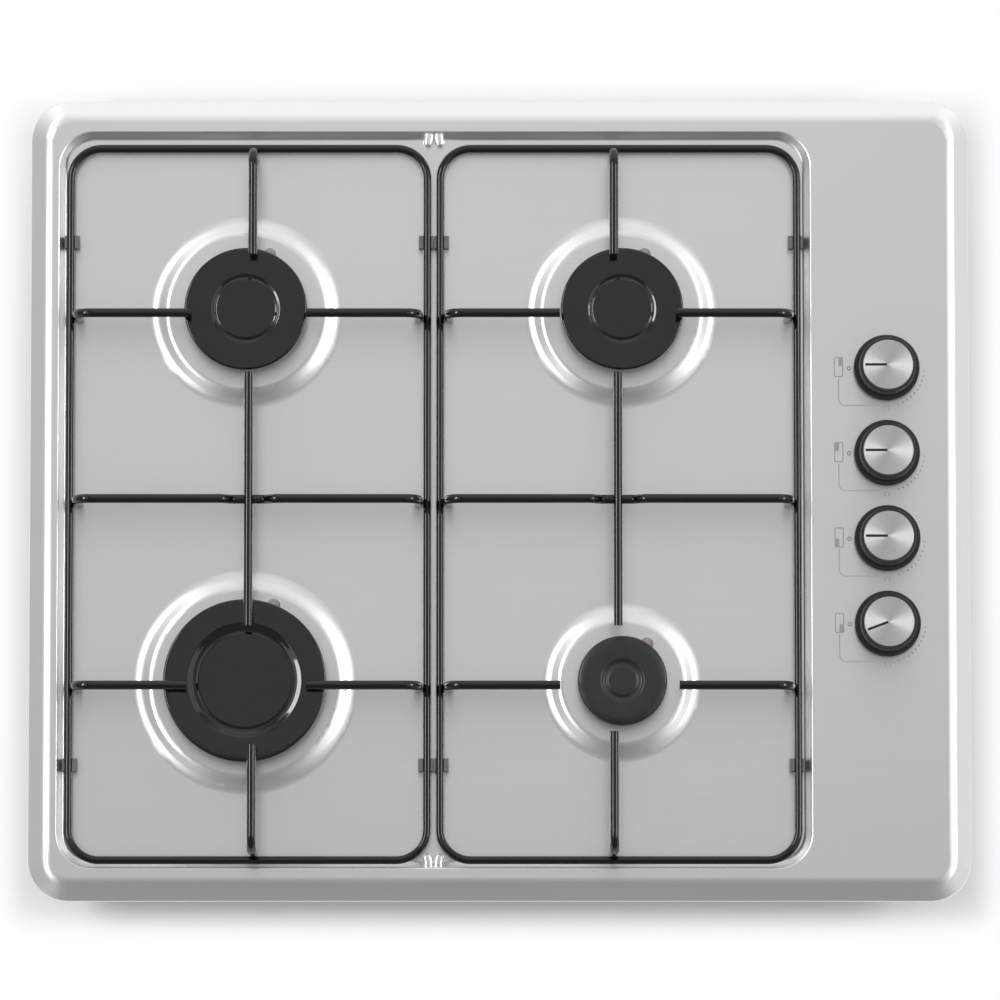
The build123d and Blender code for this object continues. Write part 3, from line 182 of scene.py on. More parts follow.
# Pan-head screws of bright zinc plate hold the tray to the panel's tabs. The same screws, smaller,
# hold the burner cups and the tap bonnets.
screw_plate = Finish("bright_zinc_plate", {"Metallic": 1.0})
rubbed = screw_plate.speckle((1500, 1500, 1500), 4.0)
screw_plate.vary({
    "Base Color": screw_plate.blend(rubbed, grey(0.50, 0.02), grey(0.72, -0.01)),
    "Roughness": 0.2 + 0.25 * rubbed,
    "Normal": screw_plate.relief(rubbed, 0.00001),
})
dress(screw_plate, "tray_screws", "burner_cup_screws", "tap_screws")


# ---------------------------------------------------------------- gas rail, brackets and inlet
# The rail is a square steel tube, zinc plated after drilling, on two folded brackets. Its threaded
# inlet of turned brass points out at the back.
rail_plate = Finish("plated_rail", {"Metallic": 1.0})
drawn = rail_plate.speckle((2500, 40, 2500))
rail_plate.vary({
    "Base Color": rail_plate.blend(drawn, grey(0.50), grey(0.66)),
    "Roughness": 0.28 + 0.2 * drawn,
    "Normal": rail_plate.relief(drawn, 0.00001),
})
dress(rail_plate, "gas_rail", "gas_rail_brackets", "tap_bonnets")

brass = Finish("turned_brass", {"Metallic": 1.0})
tarnish = brass.speckle((90, 90, 90), 5.0)
tool_marks = brass.speckle((400, 400, 5200), 2.0)
brass.vary({
    "Base Color": brass.blend(tarnish, (0.40, 0.26, 0.10, 1), (0.80, 0.60, 0.28, 1)),
    "Roughness": 0.22 + 0.2 * tarnish + 0.1 * tool_marks,
    "Normal": brass.relief(tool_marks, 0.000012),
})
KNOBS = (1, 2, 3, 4)         # from the back to the front, each with its own tap
dress(brass, "gas_inlet", "pipe_nuts", "injectors", *[f"valve_plug_{n}" for n in KNOBS])


# ---------------------------------------------------------------- gas pipes
# Four bent aluminium tubes carry gas from the taps to the cups under the burners. Drawing leaves
# faint lines on them, and bending dulls the skin in patches.
drawn_tube = Finish("drawn_aluminium_tube", {"Metallic": 1.0})
dull = drawn_tube.speckle((60, 60, 60), 4.0)
drawn_tube.vary({
    "Base Color": drawn_tube.blend(dull, grey(0.58), grey(0.78, -0.01)),
    "Roughness": 0.26 + 0.25 * dull,
    "Normal": drawn_tube.relief(drawn_tube.speckle((700, 700, 700)), 0.00001),
})
dress(drawn_tube, "gas_pipes")


# ---------------------------------------------------------------- taps, springs, spindles, switches
# Each tap is a small aluminium casting with a tapered brass plug, a return spring and a steel
# spindle that ends in the knob. A plastic contact housing on top fires the spark when it is pushed.
casting = Finish("sand_cast_aluminium", {"Metallic": 0.9})
sand = casting.speckle((1400, 1400, 1400), 4.0, 0.7)
flow_marks = casting.speckle((50, 50, 50), 3.0)
casting.vary({
    "Base Color": casting.blend(0.6 * sand + 0.4 * flow_marks, grey(0.34, 0.01), grey(0.58)),
    "Roughness": 0.45 + 0.2 * sand,
    "Normal": casting.relief(sand, 0.00006),
})
BURNERS = ("rear_left", "rear_right", "front_left", "front_right")
dress(casting, "gas_taps", *[f"{burner}_burner_cup" for burner in BURNERS])


def copy_of_node(node, name, finish):
    """New piece with a node's own mesh, under a finish."""
    mesh = frame["nodes"][node].data.copy()
    mesh.name = name
    mesh.materials.clear()
    mesh.materials.append(finish.material)
    piece = bpy.data.objects.new(name, mesh)
    bpy.context.scene.collection.objects.link(piece)
    return piece


spring_wire = Finish("oiled_spring_wire", {"Metallic": 1.0})
oil = spring_wire.speckle((600, 600, 600))
spring_wire.vary({
    "Base Color": spring_wire.blend(oil, grey(0.28, 0.04), grey(0.48)),
    "Roughness": 0.2 + 0.2 * oil,
})
for n in KNOBS:
    coil = copy_of_node(f"return_spring_{n}", f"spring_coil_{n}", spring_wire)
    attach(coil, f"tap_plug_{n}")
    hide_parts(f"return_spring_{n}")
    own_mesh(coil)

turned_steel = Finish("turned_spindle_steel", {"Metallic": 1.0})
turning = turned_steel.speckle((300, 300, 6000), 2.0)
turned_steel.vary({
    "Base Color": turned_steel.blend(turning, grey(0.48), grey(0.66)),
    "Roughness": 0.22 + 0.16 * turning,
    "Normal": turned_steel.relief(turning, 0.00001),
})
dress(turned_steel, *[f"spindle_{n}" for n in KNOBS])

black_moulding = Finish("black_glass_filled_nylon", {"Specular IOR Level": 0.4})
fibres = black_moulding.speckle((1100, 1100, 1100), 4.0)
black_moulding.vary({
    "Base Color": black_moulding.blend(fibres, grey(0.012), grey(0.03)),
    "Roughness": 0.4 + 0.2 * fibres,
    "Normal": black_moulding.relief(fibres, 0.00003),
})
dress(black_moulding, "ignition_switches", "spark_generator")


# ---------------------------------------------------------------- spark box, terminals, gland, leads
# The spark box and the mains terminal block are clipped to the tray. Grey silicone leads run from
# the box to the electrodes and switches, and a rubber gland lines the hole for the mains cord.
pale_moulding = Finish("pale_polyamide", {})
mottle = pale_moulding.speckle((250, 250, 250))
pale_moulding.vary({
    "Base Color": pale_moulding.blend(mottle, (0.66, 0.63, 0.55, 1), (0.78, 0.76, 0.69, 1)),
    "Roughness": 0.4 + 0.15 * mottle,
    "Normal": pale_moulding.relief(mottle, 0.00002),
})
dress(pale_moulding, "terminal_block")

silicone = Finish("silicone_sleeve", {})
bloom = silicone.speckle((200, 200, 200), 4.0)
silicone.vary({
    "Base Color": silicone.blend(bloom, grey(0.44, 0.02), grey(0.60, 0.03)),
    "Roughness": 0.5 + 0.2 * bloom,
    "Normal": silicone.relief(bloom, 0.00002),
})
dress(silicone, "ignition_leads")

rubber = Finish("black_nitrile_rubber", {"Specular IOR Level": 0.35})
chalk = rubber.speckle((500, 500, 500), 5.0, 0.7)
rubber.vary({
    "Base Color": rubber.blend(chalk, grey(0.010), grey(0.032)),
    "Roughness": 0.55 + 0.25 * chalk,
    "Normal": rubber.relief(chalk, 0.00004),
})
dress(rubber, "cord_gland", "spindle_seals")


# ---------------------------------------------------------------- spark electrodes
# A white glazed insulator stands beside each burner and holds a steel pin. Heat has browned the
# pin's upper end and the insulator close to the flame.
SCORCH_FROM, SCORCH_TO, TINT_L = 0.014, 0.005, 0.006      # each measured down from the pin's tip
pin_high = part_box("electrode_pins")[1].z
glaze = Finish("glazed_ceramic", {"Coat Weight": 0.6, "Coat Roughness": 0.12})
height = glaze.node("ShaderNodeSeparateXYZ", {}, {"Vector": glaze.place()}, "Z")
scorch = glaze.step(height, pin_high - SCORCH_FROM, pin_high - SCORCH_TO)
specks = glaze.speckle((1800, 1800, 1800), 2.0)
glaze.vary({
    "Base Color": glaze.blend(scorch * 0.75 + 0.2 * specks, grey(0.78, 0.02), (0.21, 0.17, 0.13, 1)),
    "Roughness": 0.3 + 0.15 * specks,
    "Normal": glaze.relief(specks, 0.00001),
})
dress(glaze, "electrode_ceramics")

pin_steel = Finish("heated_pin_steel", {"Metallic": 1.0})
height = pin_steel.node("ShaderNodeSeparateXYZ", {}, {"Vector": pin_steel.place()}, "Z")
tint = pin_steel.step(height, pin_high - TINT_L, pin_high)
scale = pin_steel.speckle((2200, 2200, 2200))
pin_steel.vary({
    "Base Color": pin_steel.blend(tint, grey(0.62), (0.70, 0.42, 0.24, 1)),
    "Roughness": 0.22 + 0.25 * scale,
    "Normal": pin_steel.relief(scale, 0.00001),
})
dress(pin_steel, "electrode_pins")


# ---------------------------------------------------------------- top panel
# One sheet of stainless steel is brushed from side to side, then pressed: a sloping rim, a shallow
# well for the grates, and a round plinth for each burner. The lines stay straight over every form.
BRUSH_AXIS_FAR = -1000.0     # the lines fan out from a point this far to the left, so they run straight
brushed_steel = Finish("brushed_stainless", {"Metallic": 1.0, "Anisotropic": 0.7})
long_lines = brushed_steel.speckle((9, 1100, 1100), 3.0, 0.6)
short_lines = brushed_steel.speckle((45, 3200, 3200), 2.0, 0.6)
cloud = brushed_steel.speckle((7, 11, 11), 2.0)
grain = 0.4 * long_lines + 0.35 * short_lines + 0.25 * cloud
brushed_steel.vary({
    "Base Color": brushed_steel.blend(grain, grey(0.81), grey(0.92)),
    "Roughness": 0.30 + 0.1 * grain,
    "Normal": brushed_steel.relief(0.5 * long_lines + 0.5 * short_lines, 0.000004),
})
brushed_top = copy_of_node("top_panel", "brushed_top", brushed_steel)
brushed_top.data.use_auto_texspace = False
brushed_top.data.texspace_location = (BRUSH_AXIS_FAR, 0.0, 0.0)
brushed_top.data.texspace_size = (1.0, 1.0, 1.0)
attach(brushed_top, "hob")
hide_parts("top_panel")


# ---------------------------------------------------------------- marks beside the knobs
# Grey marks are etched into the steel beside each knob: which burner it works, a ring where it is
# off, a line that runs to the flame, and dots that grow smaller as the flame is turned down.
MARK_T, MARK_SINK = 0.00006, 0.00003
MARK_LINE_W = 0.0006
SIGN_X, SIGN_Y, SIGN_W, SIGN_H, SIGN_CORNER = -0.0298, 0.0008, 0.0057, 0.0125, 0.0009
SIGN_FIELD_W, SIGN_FIELD_H = 0.0023, 0.0048
DIAL_R, OFF_RING_R = 0.0234, 0.0014
LEAD_TOP, LEAD_TURN_R, LEAD_RUN_Y, LEAD_END_X = -0.0065, 0.0042, -0.0232, -0.0045
LEAD_TURN_STEPS = 8
FLAME_W, FLAME_H, FLAME_DROP = 0.0042, 0.0056, 0.0003
# right half of the flame, from its tip down to the notch at its foot, as shares of its width and height
FLAME_SIDE = ((0.22, 0.22), (0.42, -0.05), (0.5, -0.28), (0.42, -0.5), (0.2, -0.5), (0.28, -0.25),
              (0.2, -0.02))
FLAME_TIP, FLAME_NOTCH = (0, 0.5), (0, -0.2)
DOT_COUNT, DOT_FIRST, DOT_APART = 10, -72, 7.5      # angles in degrees
DOT_R, DOT_SHRINK, DOT_POINTS = 0.00075, 0.00004, 12
# knob: which corner of the sign is filled, to the right and to the back
SIGN_FIELDS = {1: (1, 1), 2: (-1, 1), 3: (-1, -1), 4: (1, -1)}
etched = Finish("etched_grey", {"Specular IOR Level": 0.3})
etching = etched.speckle((2400, 2400, 2400), 3.0)
etched.vary({
    "Base Color": etched.blend(etching, grey(0.33, 0.02), grey(0.43, 0.02)),
    "Roughness": 0.5 + 0.2 * etching,
})


def outline_rounded(x, y, width, height, corner, steps=6):
    """Points round a rectangle with rounded corners."""
    points = []
    for quarter, (side_x, side_y) in enumerate(((1, 1), (-1, 1), (-1, -1), (1, -1))):
        middle = (x + side_x * (width / 2 - corner), y + side_y * (height / 2 - corner))
        for step in range(steps + 1):
            turn = (quarter + step / steps) * pi / 2
            points.append((middle[0] + corner * cos(turn), middle[1] + corner * sin(turn)))
    return points


def outline_round(x, y, radius, steps=24):
    """Points round a circle."""
    turns = [2 * pi * i / steps for i in range(steps)]
    return [(x + radius * cos(turn), y + radius * sin(turn)) for turn in turns]


def lay_strip(bm, outer, inner, z):
    """Closed band between two outlines with the same number of points, as thick as a mark."""
    rows = [[bm.verts.new((x, y, level)) for x, y in line]
            for line, level in ((outer, z), (outer, z + MARK_T), (inner, z + MARK_T), (inner, z))]
    count = len(outer)
    for row, following in zip(rows, rows[1:] + rows[:1]):
        for i in range(count):
            bm.faces.new((row[i], row[(i + 1) % count], following[(i + 1) % count], following[i]))


def lay_patch(bm, outline, z):
    """Closed flat patch inside an outline, as thick as a mark."""
    low = [bm.verts.new((x, y, z)) for x, y in outline]
    high = [bm.verts.new((x, y, z + MARK_T)) for x, y in outline]
    bm.faces.new(high)
    bm.faces.new(list(reversed(low)))
    for i in range(len(outline)):
        after = (i + 1) % len(outline)
        bm.faces.new((low[i], low[after], high[after], high[i]))


def finish_mesh(name, bm, finish, body, smooth=False):
    """Turns a built mesh into a piece with its finish, on the body that carries it."""
    bmesh.ops.recalc_face_normals(bm, faces=bm.faces)
    for face in bm.faces:
        face.smooth = smooth
    mesh = bpy.data.meshes.new(name)
    bm.to_mesh(mesh)
    bm.free()
    mesh.materials.append(finish.material)
    piece = bpy.data.objects.new(name, mesh)
    bpy.context.scene.collection.objects.link(piece)
    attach(piece, body)
    return piece


control_strip_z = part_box("top_panel")[1].z - MARK_SINK
for n, (field_right, field_back) in SIGN_FIELDS.items():
    knob_low, knob_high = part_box(f"knob_{n}")
    x, y = (knob_low.x + knob_high.x) / 2, (knob_low.y + knob_high.y) / 2
    marks = bmesh.new()
    sign = (x + SIGN_X, y + SIGN_Y)
    lay_strip(marks, outline_rounded(*sign, SIGN_W, SIGN_H, SIGN_CORNER),
              outline_rounded(*sign, SIGN_W - 2 * MARK_LINE_W, SIGN_H - 2 * MARK_LINE_W, SIGN_CORNER / 2),
              control_strip_z)
    field = (sign[0] + field_right * (SIGN_W / 2 - MARK_LINE_W - SIGN_FIELD_W / 2),
             sign[1] + field_back * (SIGN_H / 2 - MARK_LINE_W - SIGN_FIELD_H / 2))
    lay_patch(marks, outline_rounded(*field, SIGN_FIELD_W, SIGN_FIELD_H, MARK_LINE_W / 4, 2),
              control_strip_z)
    lay_strip(marks, outline_round(x - DIAL_R, y, OFF_RING_R), outline_round(x - DIAL_R, y, OFF_RING_R / 2),
              control_strip_z)
    turn_x, turn_y = sign[0] + LEAD_TURN_R, y + LEAD_RUN_Y + LEAD_TURN_R
    path = [(sign[0], y + LEAD_TOP)]
    for step in range(LEAD_TURN_STEPS + 1):
        turn = pi + step / LEAD_TURN_STEPS * pi / 2
        path.append((turn_x + LEAD_TURN_R * cos(turn), turn_y + LEAD_TURN_R * sin(turn)))
    path.append((x + LEAD_END_X, y + LEAD_RUN_Y))
    sides = []
    for i, (px, py) in enumerate(path):
        before, after = path[max(i - 1, 0)], path[min(i + 1, len(path) - 1)]
        run_x, run_y = after[0] - before[0], after[1] - before[1]
        half = MARK_LINE_W / 2 / hypot(run_x, run_y)
        sides.append(((px - run_y * half, py + run_x * half), (px + run_y * half, py - run_x * half)))
    lay_patch(marks, [left for left, _ in sides] + [right for _, right in reversed(sides)], control_strip_z)
    flame_y = y - DIAL_R - FLAME_DROP
    flame = [FLAME_TIP, *FLAME_SIDE, FLAME_NOTCH, *[(-u, v) for u, v in reversed(FLAME_SIDE)]]
    lay_patch(marks, [(x + u * FLAME_W, flame_y + v * FLAME_H) for u, v in flame], control_strip_z)
    for i in range(DOT_COUNT):
        angle = radians(DOT_FIRST + DOT_APART * i)
        centre = (x + DIAL_R * cos(angle), y + DIAL_R * sin(angle))
        lay_patch(marks, outline_round(*centre, DOT_R - DOT_SHRINK * i, DOT_POINTS), control_strip_z)
    finish_mesh(f"knob_{n}_marks", marks, etched, "hob")


# ---------------------------------------------------------------- foam seal
# A strip of closed-cell foam under the rim keeps spills out of the cut-out in the worktop. Its cut
# face shows the cells.
foam = Finish("closed_cell_foam", {"Specular IOR Level": 0.2})
cells = foam.node("ShaderNodeTexVoronoi", {}, {"Vector": foam.place(), "Scale": 1600.0}, "Distance")
foam.vary({
    "Base Color": foam.blend(cells, grey(0.05), grey(0.14)),
    "Roughness": 0.8 + 0.15 * cells,
    "Normal": foam.relief(cells, 0.0002),
})
dress(foam, "rim_seal")


# ---------------------------------------------------------------- burner crowns
# A ring of gas ports cut in cast and turned aluminium stands on each cup. The flame side dulls to a
# warm grey between the ports.
crown_metal = Finish("turned_crown_aluminium", {"Metallic": 1.0})
crown_height = crown_metal.node("ShaderNodeSeparateXYZ", {}, {"Vector": crown_metal.place()}, "Z")
SOOT_L = 0.008               # how far the soot reaches down from the crown's top
crown_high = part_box("front_left_burner_crown")[1].z
soot_patches = crown_metal.speckle((260, 260, 260), 4.0)
soot = crown_metal.step(crown_height, crown_high - SOOT_L, crown_high) * soot_patches
lathe = crown_metal.speckle((500, 500, 4000), 2.0)
crown_metal.vary({
    "Base Color": crown_metal.blend(soot, grey(0.66), (0.40, 0.35, 0.30, 1)),
    "Roughness": 0.3 + 0.15 * lathe + 0.2 * soot,
    "Normal": crown_metal.relief(lathe, 0.000015),
})
dress(crown_metal, *[f"{burner}_burner_crown" for burner in BURNERS])


# ---------------------------------------------------------------- burner caps
# Each cap is pressed steel under black glass enamel, fired so that it runs round every edge. A ring
# is pressed into the top. The small burner's cap has a duller, finer coat.
CROWN_WALL, CROWN_INSET, LOOSE_FIT = 0.0045, 0.004, 0.0003
CAP_UNDER_RING = CROWN_WALL + CROWN_INSET + LOOSE_FIT      # from the cap's edge in to its locating ring
CAP_RING_W, CAP_SKIN, CAP_EDGE = 0.002, 0.003, 0.0016
CAP_ROOT_EASE, CAP_RING_EASE = 0.0006, 0.0003
CAP_STEPS = 160
EASE_SHARE = 0.48            # the most of a profile's edge that one rounded corner takes
# burner: rings pressed into the top as distance in from the edge, depth and ease of the bend
MIDDLE_CAP_TOP = ((0.0166, 0.0, 0.0006), (0.0182, 0.00072, 0.0005), (0.0188, 0.00075, 0.0003),
                  (0.0200, 0.0, 0.0008))
CAP_TOPS = {
    "front_left": ((0.0149, 0.0, 0.0009), (0.0178, 0.0012, 0.0007), (0.0200, 0.0017, 0.0010),
                   (0.0216, 0.0013, 0.0008)),
    "rear_left": MIDDLE_CAP_TOP,
    "rear_right": MIDDLE_CAP_TOP,
    "front_right": ((0.0042, 0.0, 0.0012), (0.0144, 0.0, 0.0007), (0.0161, 0.0014, 0.0006),
                    (0.0175, 0.0016, 0.0006), (0.0190, 0.0006, 0.0006)),
}
CAP_SHOULDERS = {"front_right": 0.0009}      # how far the edge lies below the top


def eased(corners, steps=5):
    """Profile whose corners, each a radius, a height and an ease, are rounded off by that ease."""
    profile = [corners[0][:2]]
    for before, corner, after in zip(corners, corners[1:], corners[2:]):
        here = Vector(corner[:2])
        back, on = Vector(before[:2]) - here, Vector(after[:2]) - here
        ease = min(corner[2], EASE_SHARE * back.length, EASE_SHARE * on.length)
        start, end = here + back.normalized() * ease, here + on.normalized() * ease
        for step in range(steps + 1):
            t = step / steps
            profile.append(tuple((1 - t) ** 2 * start + 2 * t * (1 - t) * here + t * t * end))
    return profile + [corners[-1][:2]]


def turn_profile(bm, profile, x, y, steps):
    """Skin of a turned piece; the profile starts and ends on the axis."""
    low = bm.verts.new((x, y, profile[0][1]))
    high = bm.verts.new((x, y, profile[-1][1]))
    rings = [[bm.verts.new((*point, z)) for point in outline_round(x, y, r, steps)]
             for r, z in profile[1:-1]]
    for i in range(steps):
        after = (i + 1) % steps
        bm.faces.new((low, rings[0][i], rings[0][after]))
        bm.faces.new((high, rings[-1][after], rings[-1][i]))
        for ring, following in zip(rings, rings[1:]):
            bm.faces.new((ring[i], following[i], following[after], ring[after]))


gloss_enamel = Finish("black_glass_enamel", {"Specular IOR Level": 0.6})
orange_peel = gloss_enamel.speckle((170, 170, 170), 2.0)
pinholes = gloss_enamel.speckle((2600, 2600, 2600), 2.0)
gloss_enamel.vary({
    "Base Color": gloss_enamel.blend(pinholes, grey(0.001), grey(0.004)),
    "Roughness": 0.05 + 0.04 * orange_peel + 0.03 * pinholes,
    "Normal": gloss_enamel.relief(orange_peel, 0.00005),
})
dull_enamel = Finish("dull_glass_enamel", {"Specular IOR Level": 0.5})
frit = dull_enamel.speckle((1900, 1900, 1900), 3.0)
worn = dull_enamel.speckle((110, 110, 110), 3.0)
dull_enamel.vary({
    "Base Color": dull_enamel.blend(0.6 * worn + 0.4 * frit, grey(0.006), grey(0.022)),
    "Roughness": 0.26 + 0.12 * frit,
    "Normal": dull_enamel.relief(0.7 * worn + 0.3 * frit, 0.0001),
})
for burner in BURNERS:
    low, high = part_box(f"{burner}_burner_cap")
    x, y, cap_r, top = (low.x + high.x) / 2, (low.y + high.y) / 2, (high.x - low.x) / 2, high.z
    edge_z, ring_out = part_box(f"{burner}_burner_crown")[1].z, cap_r - CAP_UNDER_RING
    shoulder = top - CAP_SHOULDERS.get(burner, 0.0)
    rings = [(cap_r - inwards, top - depth, ease) for inwards, depth, ease in CAP_TOPS[burner]]
    profile = eased([
        (0, top - CAP_SKIN), (ring_out - CAP_RING_W, top - CAP_SKIN, CAP_ROOT_EASE),
        (ring_out - CAP_RING_W, low.z, CAP_RING_EASE), (ring_out, low.z, CAP_RING_EASE),
        (ring_out, edge_z, CAP_RING_EASE), (cap_r, edge_z, CAP_EDGE), (cap_r, shoulder, CAP_EDGE),
        *rings, (0, rings[-1][1])])
    cap = bmesh.new()
    turn_profile(cap, profile, x, y, CAP_STEPS)
    enamel = dull_enamel if burner == "front_right" else gloss_enamel
    piece = finish_mesh(f"{burner}_enamelled_cap", cap, enamel, f"{burner}_cap", smooth=True)
    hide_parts(f"{burner}_burner_cap")


# ---------------------------------------------------------------- grates
# Each grate is bent and welded steel wire under black enamel. The enamel is thick enough to soften
# the welds, and glossy enough to show the windows as two bright lines along each wire.
wire_enamel = Finish("black_wire_enamel", {"Specular IOR Level": 0.5})
runs = wire_enamel.speckle((240, 240, 240), 3.0)
wire_enamel.vary({
    "Base Color": wire_enamel.blend(runs, grey(0.001), grey(0.003)),
    "Roughness": 0.03 + 0.05 * runs,
    "Normal": wire_enamel.relief(runs, 0.00006),
})
dress(wire_enamel, "left_grate_frame", "left_grate_bars", "right_grate_frame", "right_grate_bars")

# The feet are rubber, moulded with a slot that clips over the wire. They are coloured a mid grey, lighter
# than black rubber, as painted sheen that stands in for the light they catch; a speckle of dust varies it.
sheen_painted_feet = Finish("sheen_painted_foot_rubber", {"Specular IOR Level": 0.4})
dust_and_sheen = sheen_painted_feet.speckle((600, 600, 600), 4.0)
sheen_painted_feet.vary({
    # painted sheen: both greys lift the black rubber to stand in for light on the feet, and the speckle
    # between them is dust
    "Base Color": sheen_painted_feet.blend(dust_and_sheen, grey(0.085), grey(0.15)),
    "Roughness": 0.4 + 0.25 * dust_and_sheen,
    "Normal": sheen_painted_feet.relief(dust_and_sheen, 0.00004),
})
dress(sheen_painted_feet, "left_grate_feet", "right_grate_feet")


# ---------------------------------------------------------------- knobs
# Each knob is moulded in black plastic, with a plain skirt and fine upright ribs round the grip. A
# spun aluminium disc is pressed into its top, and its bright rim is cut with a diamond tool.
RIB_COUNT, RIB_PROUD, RIB_W, RIB_EASE = 54, 0.00032, 0.0009, 0.0012
GRIP_LOW_R, GRIP_HIGH_R, SKIRT_H, GRIP_CHAMFER = 0.0178, 0.0172, 0.0028, 0.0006
RIB_SINK = 0.00015
# points of a rib's section: across as a share of half its width, outwards as a share of its height
RIB_SECTION = ((-1, 0), (-0.6, 0.75), (0, 1), (0.6, 0.75), (1, 0))
POINTER_L, POINTER_W, POINTER_EDGE, POINTER_DEPTH = 0.0138, 0.0018, 0.0012, 0.00035
POINTER_GAP, POINTER_INK = 0.00015, 0.0002
REST_TURNS = {4: 20.5}       # the front knob stands a little past off in the photographed pose
knob_black = Finish("black_knob_plastic", {"Specular IOR Level": 0.45})
moulding = knob_black.speckle((1700, 1700, 1700), 3.0)
knob_black.vary({
    "Base Color": knob_black.blend(moulding, grey(0.008), grey(0.020)),
    "Roughness": 0.3 + 0.15 * moulding,
    "Normal": knob_black.relief(moulding, 0.00002),
})
spun = Finish("spun_aluminium", {"Metallic": 1.0, "Anisotropic": 0.8, "Anisotropic Rotation": 0.25})
spun_lines = spun.speckle((900, 900, 900), 4.0, 0.7)
spun.vary({
    "Base Color": spun.blend(spun_lines, grey(0.56), grey(0.68)),
    "Roughness": 0.30 + 0.1 * spun_lines,
})
pointer_ink = Finish("pointer_ink", {"Specular IOR Level": 0.4})
ink = pointer_ink.speckle((3000, 3000, 3000), 2.0)
pointer_ink.vary({
    "Base Color": pointer_ink.blend(ink, grey(0.006), grey(0.016)),
    "Roughness": 0.35 + 0.2 * ink,
})
for n in KNOBS:
    low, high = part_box(f"knob_{n}")
    x, y = (low.x + high.x) / 2, (low.y + high.y) / 2
    foot_z, head_z = low.z + SKIRT_H, high.z - GRIP_CHAMFER
    ribs = bmesh.new()
    for i in range(RIB_COUNT):
        turn = 2 * pi * i / RIB_COUNT
        out, along = Vector((cos(turn), sin(turn), 0)), Vector((-sin(turn), cos(turn), 0))
        loops = []
        for radius, z, proud in ((GRIP_LOW_R, foot_z, RIB_PROUD),
                                 (GRIP_HIGH_R, head_z - RIB_EASE, RIB_PROUD),
                                 (GRIP_HIGH_R, head_z, 0.0)):
            loop = []
            for across, share in RIB_SECTION:
                reach = radius + proud * share - RIB_SINK * (share == 0)
                loop.append(ribs.verts.new(Vector((x, y, z)) + out * reach + along * across * RIB_W / 2))
            loops.append(loop)
        for lower, upper in zip(loops, loops[1:]):
            for k in range(len(RIB_SECTION)):
                after = (k + 1) % len(RIB_SECTION)
                ribs.faces.new((lower[k], lower[after], upper[after], upper[k]))
        ribs.faces.new(list(reversed(loops[0])))
        ribs.faces.new(loops[-1])
    finish_mesh(f"knob_{n}_ribs", ribs, knob_black, f"control_{n}", smooth=True)
    dress(knob_black, f"knob_{n}")
    dress(spun, f"knob_disc_{n}")
    disc_low, disc_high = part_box(f"knob_disc_{n}")
    disc_r, groove_z = (disc_high.x - disc_low.x) / 2, disc_high.z - POINTER_DEPTH
    turn = radians(REST_TURNS.get(n, 0.0))
    inlay = bmesh.new()
    corners = outline_rounded(POINTER_EDGE - disc_r + POINTER_L / 2, 0, POINTER_L - 2 * POINTER_GAP,
                              POINTER_W - 2 * POINTER_GAP, POINTER_W / 4, 3)
    for level in (groove_z, groove_z + POINTER_INK):
        rim = [inlay.verts.new((x + u * cos(turn) - v * sin(turn),
                                y + u * sin(turn) + v * cos(turn), level)) for u, v in corners]
        inlay.faces.new(rim)
    count = len(corners)
    inlay.verts.ensure_lookup_table()
    for i in range(count):
        after = (i + 1) % count
        inlay.faces.new([inlay.verts[k] for k in (i, after, count + after, count + i)])
    finish_mesh(f"knob_{n}_pointer", inlay, pointer_ink, f"control_{n}")


# ---------------------------------------------------------------- studio
# The cooktop lies on a plain pale floor between two wide windows, each with a narrow bright core, and
# under a soft panel. It is photographed from above, a little from the front.
FRAME_WIDTH = 0.6212          # what the picture takes in at the level of the panel
CAMERA_DISTANCE, CAMERA_RISE = 4.5, radians(84.8)
studio_target = Vector((0.0003, -0.0011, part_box("top_panel")[1].z))
FLOOR_REACH, FLOOR_FADE = 30.0, 0.025      # the floor turns plain white over the fade, from the panel out
floor_bm = bmesh.new()
for side_x, side_y in ((-1, -1), (1, -1), (1, 1), (-1, 1)):
    floor_bm.verts.new((side_x * FLOOR_REACH, side_y * FLOOR_REACH, 0))
floor_bm.faces.new(floor_bm.verts)
floor_mesh = bpy.data.meshes.new("floor")
floor_bm.to_mesh(floor_mesh)
floor_bm.free()
floor = bpy.data.objects.new("floor", floor_mesh)
bpy.context.scene.collection.objects.link(floor)
paper = Finish("white_paper", {"Base Color": grey(0.93), "Roughness": 0.9, "Specular IOR Level": 0.1})
by_eye, by_mirror, through = (paper.node("ShaderNodeLightPath", {}, {}, ray) for ray in
                              ("Is Camera Ray", "Is Glossy Ray", "Is Transmission Ray"))
high_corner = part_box("top_panel")[1]
beyond = paper.place()
for operation, other in (("ABSOLUTE", (0.0, 0.0, 0.0)), ("SUBTRACT", (high_corner.x, high_corner.y, 0.0)),
                         ("MAXIMUM", (0.0, 0.0, 0.0))):
    beyond = paper.node("ShaderNodeVectorMath", {"operation": operation}, {0: beyond, 1: other}, "Vector")
spread = paper.node("ShaderNodeVectorMath", {"operation": "LENGTH"}, {0: beyond}, "Value")
far = paper.step(spread, 0.0, FLOOR_FADE)
bright = paper.node("ShaderNodeEmission", {}, {"Color": grey(1.0), "Strength": 1.0})
seen = by_eye + by_mirror + through
plain = Flow(paper, paper.surface.outputs[0])
mixed = paper.node("ShaderNodeMixShader", {}, {0: seen * far, 1: plain, 2: bright})
paper.feed(paper.tree.nodes["Material Output"].inputs["Surface"], mixed)
floor_mesh.materials.append(paper.material)


def soft_light(name, place, width, depth, radiance):
    """Flat square light that faces the cooktop and gives off the same radiance all over."""
    lamp = bpy.data.lights.new(name, "AREA")
    lamp.shape = "RECTANGLE"
    lamp.size, lamp.size_y = width, depth
    lamp.energy = radiance * pi * width * depth
    stand = bpy.data.objects.new(name, lamp)
    stand.location = place
    stand.rotation_mode = "QUATERNION"
    stand.rotation_quaternion = (Vector(place) - studio_target).to_track_quat("Z", "Y")
    stand.visible_camera = False
    bpy.context.scene.collection.objects.link(stand)


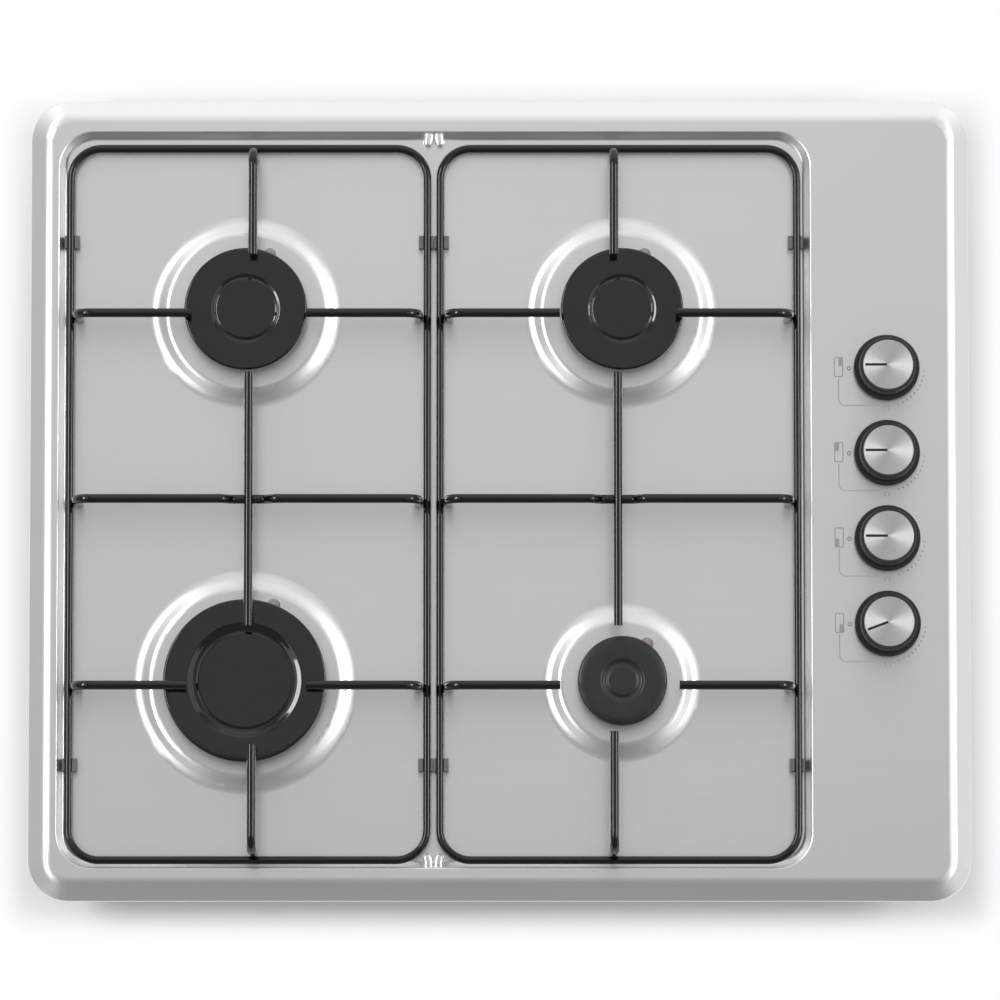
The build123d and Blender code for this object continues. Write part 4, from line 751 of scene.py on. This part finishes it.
soft_light("left_window", (-1.73, 0.1, 2.34), width=2.4, depth=1.45, radiance=1.1)
soft_light("left_core", (-1.9, 0.3, 2.06), width=1.8, depth=0.45, radiance=11.5)
soft_light("right_window", (1.85, 0.1, 2.2), width=2.4, depth=2.2, radiance=0.92)
soft_light("right_core", (2.17, 0.1, 1.74), width=1.4, depth=0.45, radiance=9.5)
soft_light("overhead_panel", (0.0, 0.85, 2.6), width=1.3, depth=2.4, radiance=0.42)

# The room behind the lights is grey, lighter to the sides and the back and dark low down in front.
world = bpy.data.worlds.new("studio")
bpy.context.scene.world = world
world.use_nodes = True
ROOM_LIGHT, WALL_LIGHT, WALL_TILT, BACK_LIGHT = 0.27, 0.53, 0.23, 0.9      # the right wall is the lighter
DARK_GREY = 0.25
# where each part of the room sets in and where it is full, as heights or depths of the direction looked in
DARK_HIGH, DARK_FRONT, WALL_FOOT, WALL_TOP = (-0.05, 0.42), (-0.2, 0.9), (0.08, 0.32), (0.4, 0.7)
room = Workings(world.node_tree)
sky = world.node_tree.nodes["Background"]
towards = room.node("ShaderNodeTexCoord", {}, {}, "Generated")
side, back, up = (room.node("ShaderNodeSeparateXYZ", {}, {"Vector": towards}, axis) for axis in "XYZ")
dark = (1.0 - room.step(up, *DARK_HIGH)) * room.step(0.0 - back, *DARK_FRONT)
walls = room.step(up, *WALL_FOOT) * (1.0 - room.step(up, *WALL_TOP)) * side ** 2
glow = room.step(back, 0.0, 1.0) ** 2
room.feed(sky.inputs["Color"], room.blend(dark, grey(1.0), grey(DARK_GREY)))
room.feed(sky.inputs["Strength"], ROOM_LIGHT + walls * (WALL_LIGHT + WALL_TILT * side) + BACK_LIGHT * glow)

camera_data = bpy.data.cameras.new("camera")
camera_data.lens = camera_data.sensor_width * CAMERA_DISTANCE / FRAME_WIDTH
camera_data.clip_start, camera_data.clip_end = 0.1, 100.0
camera = bpy.data.objects.new("camera", camera_data)
away = Vector((0, -cos(CAMERA_RISE), sin(CAMERA_RISE)))
camera.location = studio_target + CAMERA_DISTANCE * away
camera.rotation_mode = "QUATERNION"
camera.rotation_quaternion = away.to_track_quat("Z", "Y")
bpy.context.scene.collection.objects.link(camera)
bpy.context.scene.camera = camera
bpy.context.scene.view_settings.view_transform = "Standard"
